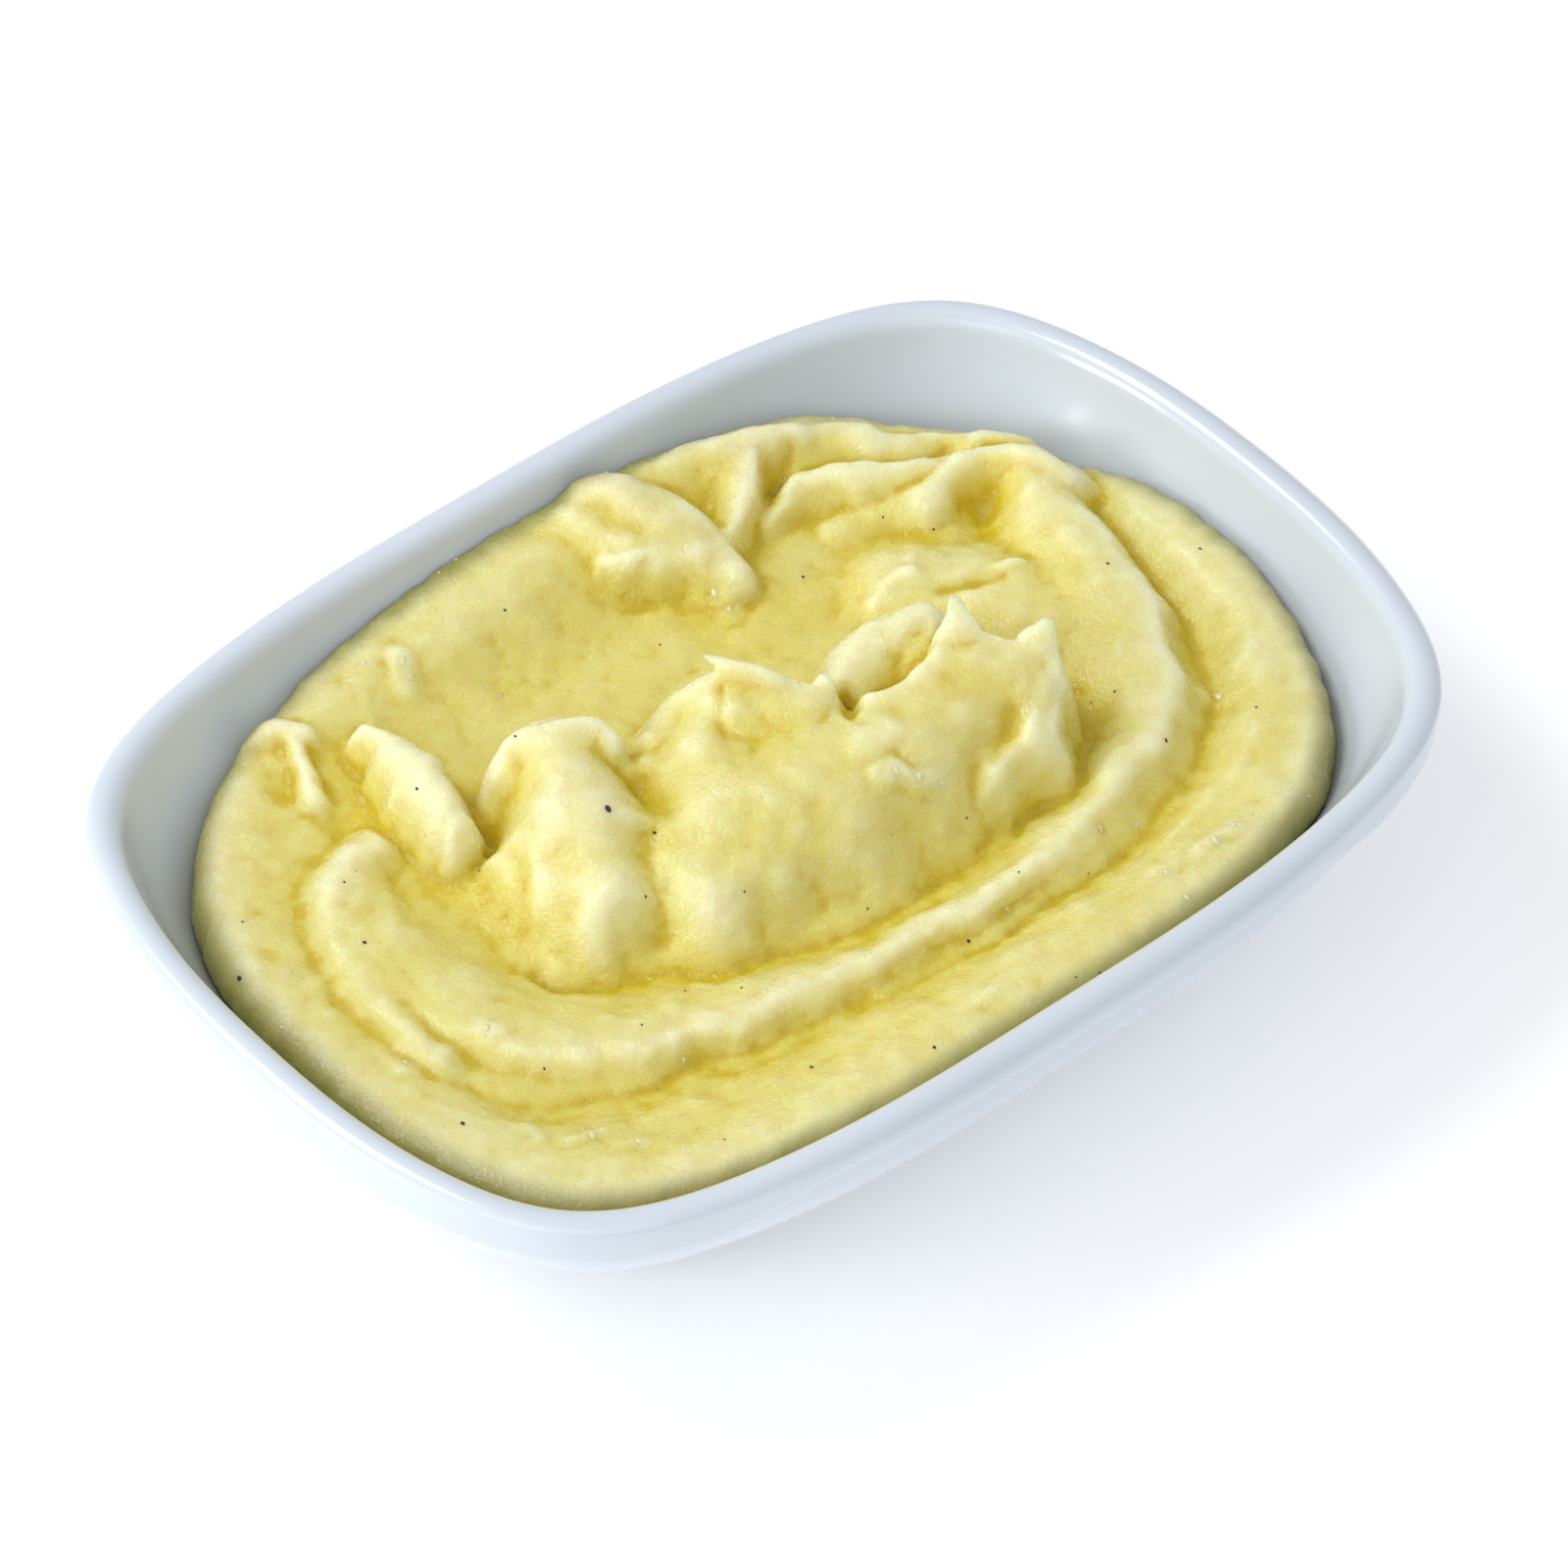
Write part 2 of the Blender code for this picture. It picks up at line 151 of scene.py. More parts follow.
# Folds: how much they drop at their half width, how boxy they are, how softly they join, and a path
# of (x, y, top, half width to the left, half width to the right), in mm
FOLDS = {
    "crescent": (6, 2, 1.2, ((60, 21, -5.2, 5, 8), (60, 12, -5, 5, 13), (58.5, 3, -5.2, 5, 15),
        (56, -6, -5.4, 4.6, 15), (52.5, -14.5, -5.9, 4.4, 13), (47.5, -20.5, -6.6, 4.4, 10.5),
        (40, -25, -7.1, 4.4, 8), (28, -29, -7.6, 4.4, 6.5), (14, -30.6, -7.8, 4.6, 6),
        (-2, -30.8, -7.8, 4.8, 6), (-16, -29, -7.6, 5, 7.5), (-29, -26.3, -7.5, 5, 11),
        (-41, -22.5, -7.4, 5.2, 14), (-50, -15, -7, 5.6, 15), (-54.5, -6, -6.6, 5.6, 15),
        (-55.5, 4, -6.4, 5.6, 13), (-53, 13, -6.3, 5.6, 10), (-49.4, 19, -6.9, 5, 7),
        (-46, 23, -8.2, 5, 6))),
    "right_shelf": (3, 2, 1, ((38, 18, -7, 8, 9), (44, 10, -6.6, 9, 9), (47, 1, -6.9, 9, 8))),
    "mound": (7.4, 2.2, 2.5, ((-17, -3, -1.2, 10, 9.5), (-8, -4, 1, 11, 11.6), (3, -6, 2.1, 11, 12.8),
        (13, -9, 2.3, 10, 10.6), (21, -11, 2.2, 8, 7.8), (28, -12.4, 1.2, 6, 4.8))),
    "mound_foot": (7, 2.2, 3, ((-27, -2.4, -3.8, 7, 6), (-19, -8, -3.2, 8, 6.6),
        (-12, -11.4, -2.4, 8, 7.4))),
    "torn_sheet": (7, 1.7, 2.6, ((1.4, 10.8, 3.6, 3, 11), (3, 8.8, 3.5, 2.6, 13), (5.4, 6, 3.4, 2.3, 13),
        (8.2, 3, 3.1, 2.2, 13), (10.6, 0.8, 2.6, 2, 13), (11.8, -1.8, 1.4, 1.9, 13), (15.4, -4, 2.3, 2, 13),
        (20, -4, 3, 2.2, 13), (24.6, -3.2, 3.6, 2.6, 13), (28.6, -3.8, 3.8, 2.6, 13),
        (32.2, -7.4, 3.4, 2.4, 10), (35.4, -10.2, 3.2, 2.2, 6), (36.4, -12, 2.4, 2, 2.6))),
    "sheet_side": (7, 2, 2, ((36.4, -11.4, 2.6, 1.6, 7), (35.2, -14.6, 1.6, 1.8, 8), (32.6, -17, 0.4, 2, 8),
        (29.4, -18.4, -0.9, 2.2, 8), (25.6, -18.8, -1.8, 2.6, 8), (21, -19.2, -2.4, 3.2, 8))),
    "sheet_fill": (7, 2.2, 3, ((27, -8, 2.6, 7, 7), (31, -12, 1.8, 6, 6), (29, -16, -0.4, 6, 6))),
    "bulb": (5.5, 2.3, 1.4, ((14.2, 2.6, 1.3, 4.4, 5), (17.4, 4.2, 2.4, 4.6, 5.6), (22, 4.4, 3, 4.6, 6),
        (26.6, 2.2, 3.6, 4.2, 6))),
    "small_dome": (6.5, 2.4, 0.8, ((-8, 10.8, -1.4, 4.4, 5), (-5, 9.4, -0.5, 5, 5.5),
        (-2.4, 7, -0.2, 5.4, 6))),
    "left_mound": (7, 2, 2.4, ((-1.5, 8, 1.9, 5, 6), (-7, 2, 1.5, 10, 9.6), (-12, -4, 0.4, 11, 9.4),
        (-17, -8.4, -1.8, 10, 8))),
    "lobe_saddle": (5, 2, 1.6, ((-14, 9, -1.6, 4, 4), (-10, 7, -1.8, 5, 5))),
    "left_lobe": (8.5, 2.4, 2.2, ((-18.5, 18.4, 0.8, 4.5, 6.5), (-20.5, 15, 2, 7, 7.6),
        (-23.5, 9, 2.4, 9, 8.6), (-26, 3, 1.6, 10, 8.4), (-28, -2, -0.8, 9, 7.4))),
    "lobe_toe": (8, 2.4, 2.4, ((-31, 8, -1.6, 7, 5.2), (-31.6, 2, -2.2, 8, 5.8),
        (-29.6, -3.6, -3.2, 8, 6.2))),
    "lobe_crest": (5, 2, 2, ((-25.4, 19.6, -0.4, 2.4, 5), (-22.6, 20, 1, 2, 5), (-18.6, 17.8, 2, 1.9, 5),
        (-15.4, 15, 2, 1.8, 4.6), (-14.8, 12, 1.3, 2, 4))),
    "finger": (7.5, 2.4, 0.5, ((-34.4, 37.6, -3.4, 2.4, 2.8), (-34.4, 33.4, -1.9, 3.6, 4),
        (-34.6, 28, -0.8, 4.6, 5), (-34.9, 23, -0.4, 5, 5.4), (-35, 19, -1, 4.6, 4.8),
        (-35, 16.6, -2.2, 3.6, 3.8))),
    "nose": (6, 2.6, 0.8, ((14.4, 52, -1, 5, 6), (16.6, 47, -1.4, 5, 7), (18.6, 42, -2, 5, 7),
        (20.8, 36.8, -3.5, 4.2, 6.4), (20.8, 32, -5.7, 3.6, 4.6))),
    "nose_body": (5, 2.4, 1.4, ((9.8, 49.6, -2.4, 5, 5), (10.6, 45, -2.6, 6, 5.4), (13.4, 40.6, -3, 6, 4.8),
        (18, 35.4, -4, 5, 4))),
    "nose_lip": (4.2, 2, 0.5, ((7.4, 42, -4, 2.4, 1.9), (9.4, 40.2, -3.5, 2.2, 1.8),
        (13, 38, -3.3, 1.7, 1.6), (16.2, 36.2, -4.4, 1.8, 1.8))),
    "rim_fold": (6, 2.2, 0.8, ((17, 50.4, -3.6, 5, 6), (26.6, 48.6, -3, 5, 7), (35.5, 46.2, -2.9, 4.6, 7),
        (41.4, 44.6, -3.6, 4, 5))),
    "blade": (5, 1.8, 0.8, ((36.4, 46, -3.4, 3, 9), (33.6, 42.4, -2.9, 2.2, 10), (30.8, 39.4, -3.3, 2.2, 9),
        (27.4, 36.8, -4.1, 2.4, 7), (23.6, 35, -5.2, 2.8, 5))),
    "far_crest": (5, 2.2, 0.7, ((43, 44, -5.2, 4, 5), (48.6, 39.6, -5.3, 3, 5), (51.4, 36.2, -6, 3, 5),
        (56.2, 32.8, -6, 3, 4), (61.5, 29, -6.4, 3, 4), (65, 25.6, -6.9, 3, 4))),
    "middle_ridge": (5, 2, 0.5, ((30.6, 36.4, -6.6, 3, 4), (35, 37.4, -5.3, 3, 5),
        (38.8, 36.8, -4.7, 3, 5.6), (44.3, 33.6, -4.6, 3, 5.4), (49.6, 30.3, -5, 2.8, 4.4),
        (54, 29, -5.8, 2.4, 3))),
    "inner_ridge": (5, 2, 0.6, ((36, 31, -8.6, 3, 5), (43, 29.2, -7.2, 3, 5.4), (48, 27, -5.8, 3, 5),
        (52.4, 27.4, -4.9, 2.8, 3.6), (57, 26, -4, 3.4, 3.2), (61.6, 22, -4.2, 4, 3.6),
        (63.6, 16, -4.9, 4.4, 5))),
    "forked_fold": (3.2, 1.8, 0.8, ((32, 17, -7.9, 3, 3), (35.4, 18, -6.7, 2.6, 2.6),
        (37.8, 17, -5.8, 2, 2.2), (39, 14.8, -6.9, 2, 1.8), (41.4, 13, -7.5, 2, 1.8),
        (44.8, 10.8, -7.1, 2, 1.8), (47.6, 9, -5.9, 2, 1.9), (50, 7.6, -7.2, 2.6, 2.6))),
    "left_lump": (5, 2.4, 0.4, ((-45.4, 47, -5, 3.6, 3), (-42, 45.4, -4.2, 3.6, 3.4),
        (-39.2, 42.4, -4.7, 3.4, 3))),
    "left_lump_low": (5, 2.2, 0.4, ((-41, 42.4, -4.9, 2.6, 2.6), (-42.2, 38.6, -5.6, 2.6, 2.6),
        (-43.6, 34.6, -6.2, 3, 3))),
    "left_end_fold": (4.4, 2, 1.6, ((-44.6, 23.2, -6.8, 4.4, 5), (-49.6, 23.2, -6.3, 4.8, 5),
        (-55, 16.4, -6.3, 5.4, 5), (-59, 8, -6.3, 6, 5), (-60.6, -1, -6.3, 6, 5), (-60, -9.4, -6.6, 6, 5))),
}

# Sharp creases cut last: a path of (x, y, depth, half width), in mm
CREASES = {
    "under_crescent": ((66, 16, 0.4, 1.4), (63.8, 5, 0.9, 1.6), (61.4, -6, 1, 1.6), (58, -15.6, 0.9, 1.6),
        (53.4, -22.6, 0.7, 1.5), (47.6, -27.2, 0.6, 1.5), (38, -31.4, 0.6, 1.5), (25, -34.6, 0.7, 1.5),
        (12.8, -35.6, 0.8, 1.5), (2, -35.6, 0.4, 1.4)),
    "second_crescent": ((22, -32.6, 0.2, 1.2), (11, -33.4, 0.8, 1.4), (0, -33.4, 0.7, 1.4),
        (-12, -32.8, 0.3, 1.2)),
    "lower_left": ((-14, -33, 0.3, 1.4), (-26, -30.6, 0.7, 1.6), (-40, -28, 0.6, 1.6),
        (-52, -23, 0.4, 1.4)),
    "left_end_a": ((-53, 24, 0.1, 2.4), (-59.6, 12, 0.25, 2.6), (-63.4, 1, 0.25, 2.6),
        (-63.6, -7, 0.1, 2.4)),
    "left_end_b": ((-46, 20, 0.1, 2.4), (-52.4, 12, 0.3, 2.6), (-55, 2, 0.3, 2.6), (-55, -8, 0.2, 2.6)),
    "beside_lobe": ((-31.4, 21, 0.5, 1.6), (-32, 14, 1.6, 2), (-33.6, 8, 1.8, 2), (-37, 2, 1.2, 1.8)),
    "under_mound": ((-39.6, -3.6, 1.2, 2), (-38, -6.4, 1.3, 2), (-31.8, -11.4, 0.9, 1.6),
        (-19.6, -19, 0.7, 1.4), (-6, -23.4, 0.7, 1.4), (5, -23.8, 0.8, 1.4), (15.4, -22.8, 0.9, 1.5),
        (24, -20.4, 1, 1.6), (30.6, -17.8, 1, 1.6), (37, -14, 0.7, 1.5), (41.4, -9, 0.4, 1.4)),
    "lobe_to_mound": ((-13, 10, 0.9, 1.8), (-14.6, 5, 0.8, 2.4), (-17, 0, 0.4, 2.8), (-18, -3, 0.1, 2.8)),
    "dome_to_horn": ((0.4, 8.4, 0.6, 1.2), (-2.6, 4.6, 0.5, 1.3), (-5.4, 1, 0.2, 1.2)),
    "under_nose": ((2.8, 45.6, 0.2, 1.2), (3.6, 41.2, 0.5, 1.3), (7, 37.4, 0.6, 1.3), (12, 35.2, 0.7, 1.4),
        (16, 33, 1, 1.6), (18.8, 29.6, 0.5, 1.5)),
    "beside_blade": ((39.4, 42, 0.8, 1.6), (35.8, 40, 2, 2), (33.4, 38.2, 1.8, 1.8),
        (29.6, 36.2, 0.5, 1.4)),
    "above_middle_ridge": ((40, 39.4, 0.5, 1.4), (46.4, 35.6, 0.4, 1.3), (52, 31.8, 0.4, 1.3),
        (56.8, 31.2, 1.6, 1.8)),
    "sheet_notch": ((13, 0, 3.2, 1.8), (11.4, -2.4, 2.8, 1.8), (9.4, -5, 0.6, 1.4)),
    "bulb_crease": ((19.4, -0.2, 0.3, 1.2), (22.4, 0.8, 0.9, 1.3), (25.4, 0.6, 0.7, 1.2)),
    "forked_pocket": ((39, 12.2, 0.8, 2), (42.2, 10.2, 1.3, 2.2), (45.2, 8.2, 0.7, 1.8)),
}

# Hollows pressed in after the folds: (x, y, depth, half width), in mm
PRESSED = {
    "thumb": ((57, 23.6, 1.8, 2.6), (55.4, 21.8, 3.6, 2.8), (53.8, 19, 2, 3)),
    "left_pocket": ((-46, 42, 0.5, 2), (-46.4, 38.6, 0.8, 2.2)),
    "far_dimple": ((55, 32.6, 0.8, 1.8), (58, 31.2, 1.2, 2)),
}

# How far out, in half widths, each kind of path is felt, and how sharply a crease ends
DIP_REACH = 3.0
FOLD_REACH = 2.5
CREASE_REACH = 2.0
LUMP_REACH = 2.0
CREASE_POWER = 1.4

# Small lumps that stand up: (x, y) to (x, y), rise, half width, in mm
LUMPS = (
    (5.8, -13.6, 8.8, -14.2, 0.9, 1.3), (9.6, -15.7, 13.9, -17.7, 0.8, 1.1),
    (7.4, -9.4, 11.3, -9.4, 0.6, 2.4), (-0.6, 4.5, -0.5, 1.8, 0.35, 1.8), (34, -43.5, 40.1, -42.4, 0.5, 1),
    (-55.8, -30.1, -52.4, -30.8, 0.45, 0.9), (-51.9, -34.8, -49.4, -36.5, 0.4, 0.9),
    (-58.1, -24.4, -58.3, -27.5, 0.4, 0.9), (17.3, 31.8, 18.4, 28.3, 0.6, 1),
    (-21.6, 45.1, -23.5, 41.3, 0.8, 1.6), (26.5, -42.7, 29.4, -43, 0.35, 1),
    (54.4, -21.8, 56.3, -22.7, 0.5, 1.5), (29.6, -13.8, 26.9, -18.4, 0.4, 1.2),
    (-21.7, 0.9, -20.4, 0.3, 0.4, 1.4), (30.4, -32.4, 35.5, -32, 0.25, 1.3),
    (-2.4, -17.2, -1.8, -20.2, 0.25, 2.4), (-14, -12.3, -18.5, -16.2, 0.25, 1.8),
    (-26.1, 10.6, -30, 4.9, 0.25, 2), (-54.2, 33.4, -54.8, 29.9, 0.3, 1.6),
    (-70.2, 8.8, -70.7, 4.5, 0.25, 1.4), (-36.3, -25.7, -28.3, -29.2, 0.25, 1.2),
    (-61.1, -11.2, -57.5, -15.3, 0.3, 1.3), (13.5, -31.9, 21.4, -31.9, 0.25, 1.3),
    (39.3, 19.1, 42.7, 21.2, 0.35, 1.2), (-52.6, -9.6, -51.1, -11.5, 0.4, 1.2),
    (-60, -3.4, -59.7, -6, 0.35, 1.2), (56.2, 7.5, 56.3, 4.7, 0.3, 1.4), (14.8, 47.9, 15.8, 43.5, 0.3, 1.6),
    (-65, -4.6, -64.4, -8.6, 0.4, 1.3), (-63, 9.8, -65.2, 4.5, 0.3, 1.5),
    (-27.5, -43.3, -24.1, -44.8, 0.25, 1.1), (-6.2, -44.1, -1.9, -44.7, 0.25, 1.1),
)

# Torn tips drawn up by the spoon: which way the width runs, and a path of (x, y, height,
# half width, half thickness), in mm
TIPS = {
    "left_horn": ((1, -1), ((4.6, 5.6, 1.2, 3.4, 1.6), (3.2, 8, 2.8, 2.6, 1.2), (2, 10, 4, 1.5, 0.85),
        (1.2, 11.7, 4.7, 0.75, 0.55), (0.5, 13.2, 5, 0.25, 0.3))),
    "right_horn": ((1, -0.7), ((26.8, -5.2, 0.5, 4.4, 2.2), (27.8, -4, 2.6, 3.6, 1.6),
        (28.9, -2.6, 3.9, 2.5, 1.1), (30, -0.8, 4.6, 1.4, 0.8), (30.8, 0.6, 4.95, 0.8, 0.5),
        (31.1, 1.1, 5.05, 0.4, 0.3))),
    "right_corner": ((1, -0.8), ((33.6, -10.8, 0.5, 3.4, 1.8), (35.4, -10.4, 2.6, 2.8, 1.2),
        (36.9, -9.9, 3.9, 1.6, 0.8), (38, -9.6, 4.6, 0.7, 0.5))),
    "middle_tip": ((1, -1), ((9.4, 0.6, 0.8, 2, 1.4), (10.4, 1.4, 2.6, 1.5, 0.9),
        (11, 1.9, 3.5, 0.7, 0.5))),
}

# Fine streaks along a dip: its name, how far they reach and how high they stand, in mm
STREAKS = (("outer_groove", 8.0, 0.14), ("inner_groove", 6.0, 0.08), ("left_groove", 8.0, 0.06))
STREAK_REACH = 2.5
# Their two layers as (length, width, shift, share, seed)
STREAK_LAYERS = ((9.0, 1.3, 20, 1.0, 5), (5.0, 0.7, 40, 0.6, 6))

# Smooth unevenness in layers of (size of a bump, height, seed), in mm: of the paths, and of the top
SWAY_X = ((7.0, 0.9, 1), (2.6, 0.35, 2))
SWAY_Y = ((7.0, 0.9, 3), (2.6, 0.35, 4))
UNEVEN = ((3.4, 0.22, 7), (1.7, 0.12, 8))
RANDOM_CELLS = 64

HIGHEST = HEIGHT + 5.12 * MM
SURFACE = {
    "Lump Size": 3.0 * MM, "Lump Depth": 0.5 * MM, "Grain Size": 1.1 * MM, "Grain Depth": 0.22 * MM,
    "Foot Height": HEIGHT - 16.0 * MM, "Foot Fade": 2.0 * MM, "Seed": 3.0, "Ridge Reach": 10,
    "Fold Reach": 110,
}

# Pepper and flakes as (x, y, size) in mm, then what the random ones between them are like
SPECKS = (
    (-23.1, 2.8, 0.4), (-37.2, 22.7, 0.2), (-19.4, -1.6, 0.22), (-55.4, 10.4, 0.26), (-25.8, -7.6, 0.16),
    (-69.8, 16.9, 0.32), (-65, -20.5, 0.26), (56.6, 0.6, 0.2), (43.2, -25.7, 0.24), (68.4, -3.7, 0.18),
    (28.8, 27.2, 0.18), (-23.5, 20.3, 0.16), (-13.8, -47.7, 0.22), (-26.1, -39.3, 0.22), (3.5, -34.1, 0.22),
    (-63.9, 23.7, 0.16), (-28.5, -18.3, 0.14), (14.2, -31.1, 0.14), (-50.7, -18.4, 0.15),
    (42.2, 27.3, 0.13), (-51, 19.9, 0.14), (56.4, -27.8, 0.15), (-16, -14.7, 0.15), (-2.6, -22.2, 0.13),
    (7.5, 29.9, 0.13), (14.9, -20.5, 0.14),
)
FLAKES = (
    (8.6, -14.5, 0.56), (10.9, -16.4, 0.6), (13.3, -17.7, 0.52), (36.2, -42.9, 0.6), (39.7, -42, 0.52),
    (-53.5, -31.1, 0.56), (-50, -35.4, 0.48), (-59.3, -26.8, 0.44), (17.3, 31.1, 0.56), (17.8, 28.7, 0.48),
    (-22.2, 44.3, 0.56), (-22.8, 42.2, 0.48), (27.7, -43.1, 0.44), (34.4, -46.4, 0.4), (26.6, -48.2, 0.44),
    (55.3, -22, 0.64), (-53, -10.1, 0.44), (27.7, -31, 0.48), (-36.1, -27.3, 0.4), (-2.4, -17.2, 0.4),
    (28.2, -16.4, 0.48), (42.7, 16.6, 0.44), (-65, 13.1, 0.4), (-63.6, -7.7, 0.44), (-40, -5.8, 0.4),
    (-22.7, -26.4, 0.4),
)
FACING_UP = 0.3
PEPPER = {
    "Density": 1500.0, "Seed": 4, "Lowest": HEIGHT - 12.0 * MM, "Smallest": 0.07 * MM,
    "Largest": 0.17 * MM, "Length": 1.4, "Flatness": 0.6, "Lumpiness": 0.35, "Sink": 0.1,
}
CRUMBS = {
    "Density": 4500.0, "Seed": 11, "Lowest": HEIGHT - 12.0 * MM, "Smallest": 0.14 * MM,
    "Largest": 0.36 * MM, "Length": 1.4, "Flatness": 0.55, "Lumpiness": 0.5, "Sink": 0.38,
}

# Colours of the flesh and of a crumb: deep, middle, bright, the pale grains, and their share
FLESH = ((0.72, 0.62, 0.155), (0.75, 0.67, 0.21), (0.78, 0.72, 0.28), (0.85, 0.82, 0.54), 0.3)
CRUMB = ((0.74, 0.67, 0.28), (0.78, 0.72, 0.36), (0.82, 0.77, 0.44), (0.87, 0.84, 0.58), 0.5)

# Painted shade and painted highlight on the flesh: a golden painted shade where the surface is hollow,
# and a paler painted highlight where it is crested. Each row gives the attribute, the heights in mm
# where the painted colour starts and is full, how strong it is, and its colour
HOLLOW_SHADE_AND_CREST_HIGHLIGHT = (
    ("fold", -0.05, -1.2, 0.85, (0.72, 0.575, 0.04)), ("ridge", -0.05, -0.22, 0.85, (0.67, 0.49, 0.015)),
    ("fold", 0.1, 1.1, 0.85, (0.82, 0.80, 0.52)), ("ridge", 0.08, 0.32, 0.38, (0.86, 0.84, 0.60)),
)

# Painted shade: the darker band beside the wall, where the wall shades the potato: where it is full and
# where it ends, in mm, strength and colour
WALL_SHADE_BAND = (0.2, 4.6, 0.95, (0.29, 0.26, 0.045))

CAMERA_AZIMUTH = math.radians(-40.15)
CAMERA_ELEVATION = math.radians(45.73)
CAMERA_DISTANCE = 1.3069
CAMERA_LENS = 244.35
CAMERA_TARGET = (-0.00298, -0.00673, HEIGHT)
FLOOR_REACH = 3.0

# Lights: direction, distance, size, power and colour
LIGHTS = {
    "key": ((-0.60, 0.70, 1.35), 1.1, (0.45, 0.45), 4.4, (0.98, 0.99, 1.0)),
    "window": ((-0.9, 0.30, 0.30), 1.0, (0.3, 0.35), 3.0, (0.97, 0.985, 1.0)),
    "left_fill": ((-1.0, -0.25, 1.0), 1.3, (0.6, 0.6), 1.6, (0.98, 0.99, 1.0)),
    "front_fill": ((-0.6, -0.9, 1.1), 1.6, (1.0, 1.0), 2.1, (0.98, 0.99, 1.0)),
}
WORLD_COLOUR = (0.95, 0.975, 1.0, 1.0)
WORLD_STRENGTH = 0.65


# ---------------------------------------------------------------- node helpers

SOCKET_KINDS = {float: "Float", int: "Int", bpy.types.Object: "Object", bpy.types.Material: "Material"}


def plug(tree, value, socket):
    """Feed a socket from a node, an output or a Flow, or give it a plain value."""
    if isinstance(value, bpy.types.Node):
        value = value.outputs[0]
    if isinstance(value, Flow):
        value = value.socket
    if isinstance(value, bpy.types.NodeSocket):
        tree.links.new(value, socket)
    else:
        socket.default_value = value


class Flow:
    """A node's output; adding, multiplying and so on makes the Math nodes."""

    def __init__(self, tree, socket):
        self.tree = tree
        self.socket = socket

    def math(self, operation, *others):
        """A Math node on this output and others."""
        node = self.tree.nodes.new("ShaderNodeMath")
        node.operation = operation
        for value, socket in zip((self, *others), node.inputs):
            plug(self.tree, value, socket)
        return Flow(self.tree, node.outputs[0])

    def __add__(self, other):
        return self.math("ADD", other)

    def __sub__(self, other):
        return self.math("SUBTRACT", other)

    def __mul__(self, other):
        return self.math("MULTIPLY", other)

    def __truediv__(self, other):
        return self.math("DIVIDE", other)

    def __pow__(self, other):
        return self.math("POWER", other)

    def taken_from(self, value):
        """value - self"""
        return (self * -1.0) + value


def new_node(tree, kind, settings=None, **inputs):
    """A node with its settings and inputs; an input's name has _ for each space."""
    node = tree.nodes.new(kind)
    for key, value in (settings or {}).items():
        setattr(node, key, value)
    for key, value in inputs.items():
        name = key.replace("_", " ")
        socket = next(item for item in node.inputs if item.name == name and item.enabled)
        plug(tree, value, socket)
    return node


def flow(tree, kind, output=0, settings=None, **inputs):
    """One output of a new node, ready to calculate with."""
    return Flow(tree, new_node(tree, kind, settings, **inputs).outputs[output])


def live_output(node):
    """The output that a node with several data types has in use."""
    return next(socket for socket in node.outputs if socket.enabled)


def vector_math(tree, operation, first, second):
    """A Vector Math node on two vectors."""
    node = new_node(tree, "ShaderNodeVectorMath", {"operation": operation})
    plug(tree, first, node.inputs[0])
    plug(tree, second, node.inputs[1])
    return node


def geometry_tree(name, values):
    """A Geometry Nodes tree with a geometry in and out, and a named input for each value."""
    tree = bpy.data.node_groups.new(name, "GeometryNodeTree")
    tree.interface.new_socket("Geometry", in_out="INPUT", socket_type="NodeSocketGeometry")
    for label, value in values.items():
        kind = "NodeSocket" + SOCKET_KINDS[type(value)]
        socket = tree.interface.new_socket(label, in_out="INPUT", socket_type=kind)
        if isinstance(value, (int, float)):
            socket.default_value = value
    tree.interface.new_socket("Geometry", in_out="OUTPUT", socket_type="NodeSocketGeometry")
    start = tree.nodes.new("NodeGroupInput")
    inputs = {socket.name: Flow(tree, socket) for socket in start.outputs if socket.name}
    return tree, inputs


def end_tree(tree, geometry, finish):
    """End a tree in real geometry that carries its finish."""
    real = new_node(tree, "GeometryNodeRealizeInstances", Geometry=geometry)
    painted = new_node(tree, "GeometryNodeSetMaterial", Geometry=real, Material=finish)
    end = tree.nodes.new("NodeGroupOutput")
    plug(tree, painted, end.inputs[0])


def evaluated_mesh(holder):
    """An object's mesh with its modifiers applied."""
    bpy.context.view_layer.update()
    evaluated = holder.evaluated_get(bpy.context.evaluated_depsgraph_get())
    return bpy.data.meshes.new_from_object(evaluated)


def new_object(name, mesh):
    """An object in the scene."""
    piece = bpy.data.objects.new(name, mesh)
    bpy.context.scene.collection.objects.link(piece)
    return piece


def grow(name, base, tree, values):
    """Run a Geometry Nodes tree on a base mesh and keep its result as a plain mesh object."""
    holder = new_object(name + "_base", base)
    modifier = holder.modifiers.new(name, "NODES")
    modifier.node_group = tree
    for item in tree.interface.items_tree:
        if item.item_type == "SOCKET" and item.in_out == "INPUT" and item.name in values:
            modifier[item.identifier] = values[item.name]
    mesh = evaluated_mesh(holder)
    mesh.name = name
    mesh.materials.clear()
    mesh.materials.append(values["Finish"])
    holder.modifiers.clear()
    bpy.data.objects.remove(holder)
    return new_object(name, mesh)


def apply_modifiers(piece):
    """Replace a piece's mesh with its evaluated one."""
    mesh = evaluated_mesh(piece)
    piece.modifiers.clear()
    piece.data = mesh


def face_outwards(mesh):
    """Merge doubles, turn every face outwards and shade smooth."""
    sheet = bmesh.new()
    sheet.from_mesh(mesh)
    bmesh.ops.remove_doubles(sheet, verts=sheet.verts, dist=MERGE_DISTANCE)
    bmesh.ops.recalc_face_normals(sheet, faces=sheet.faces)
    if sheet.calc_volume(signed=True) < 0:
        bmesh.ops.reverse_faces(sheet, faces=sheet.faces)
    sheet.to_mesh(mesh)
    sheet.free()
    mesh.shade_smooth()


# ---------------------------------------------------------------- the dish

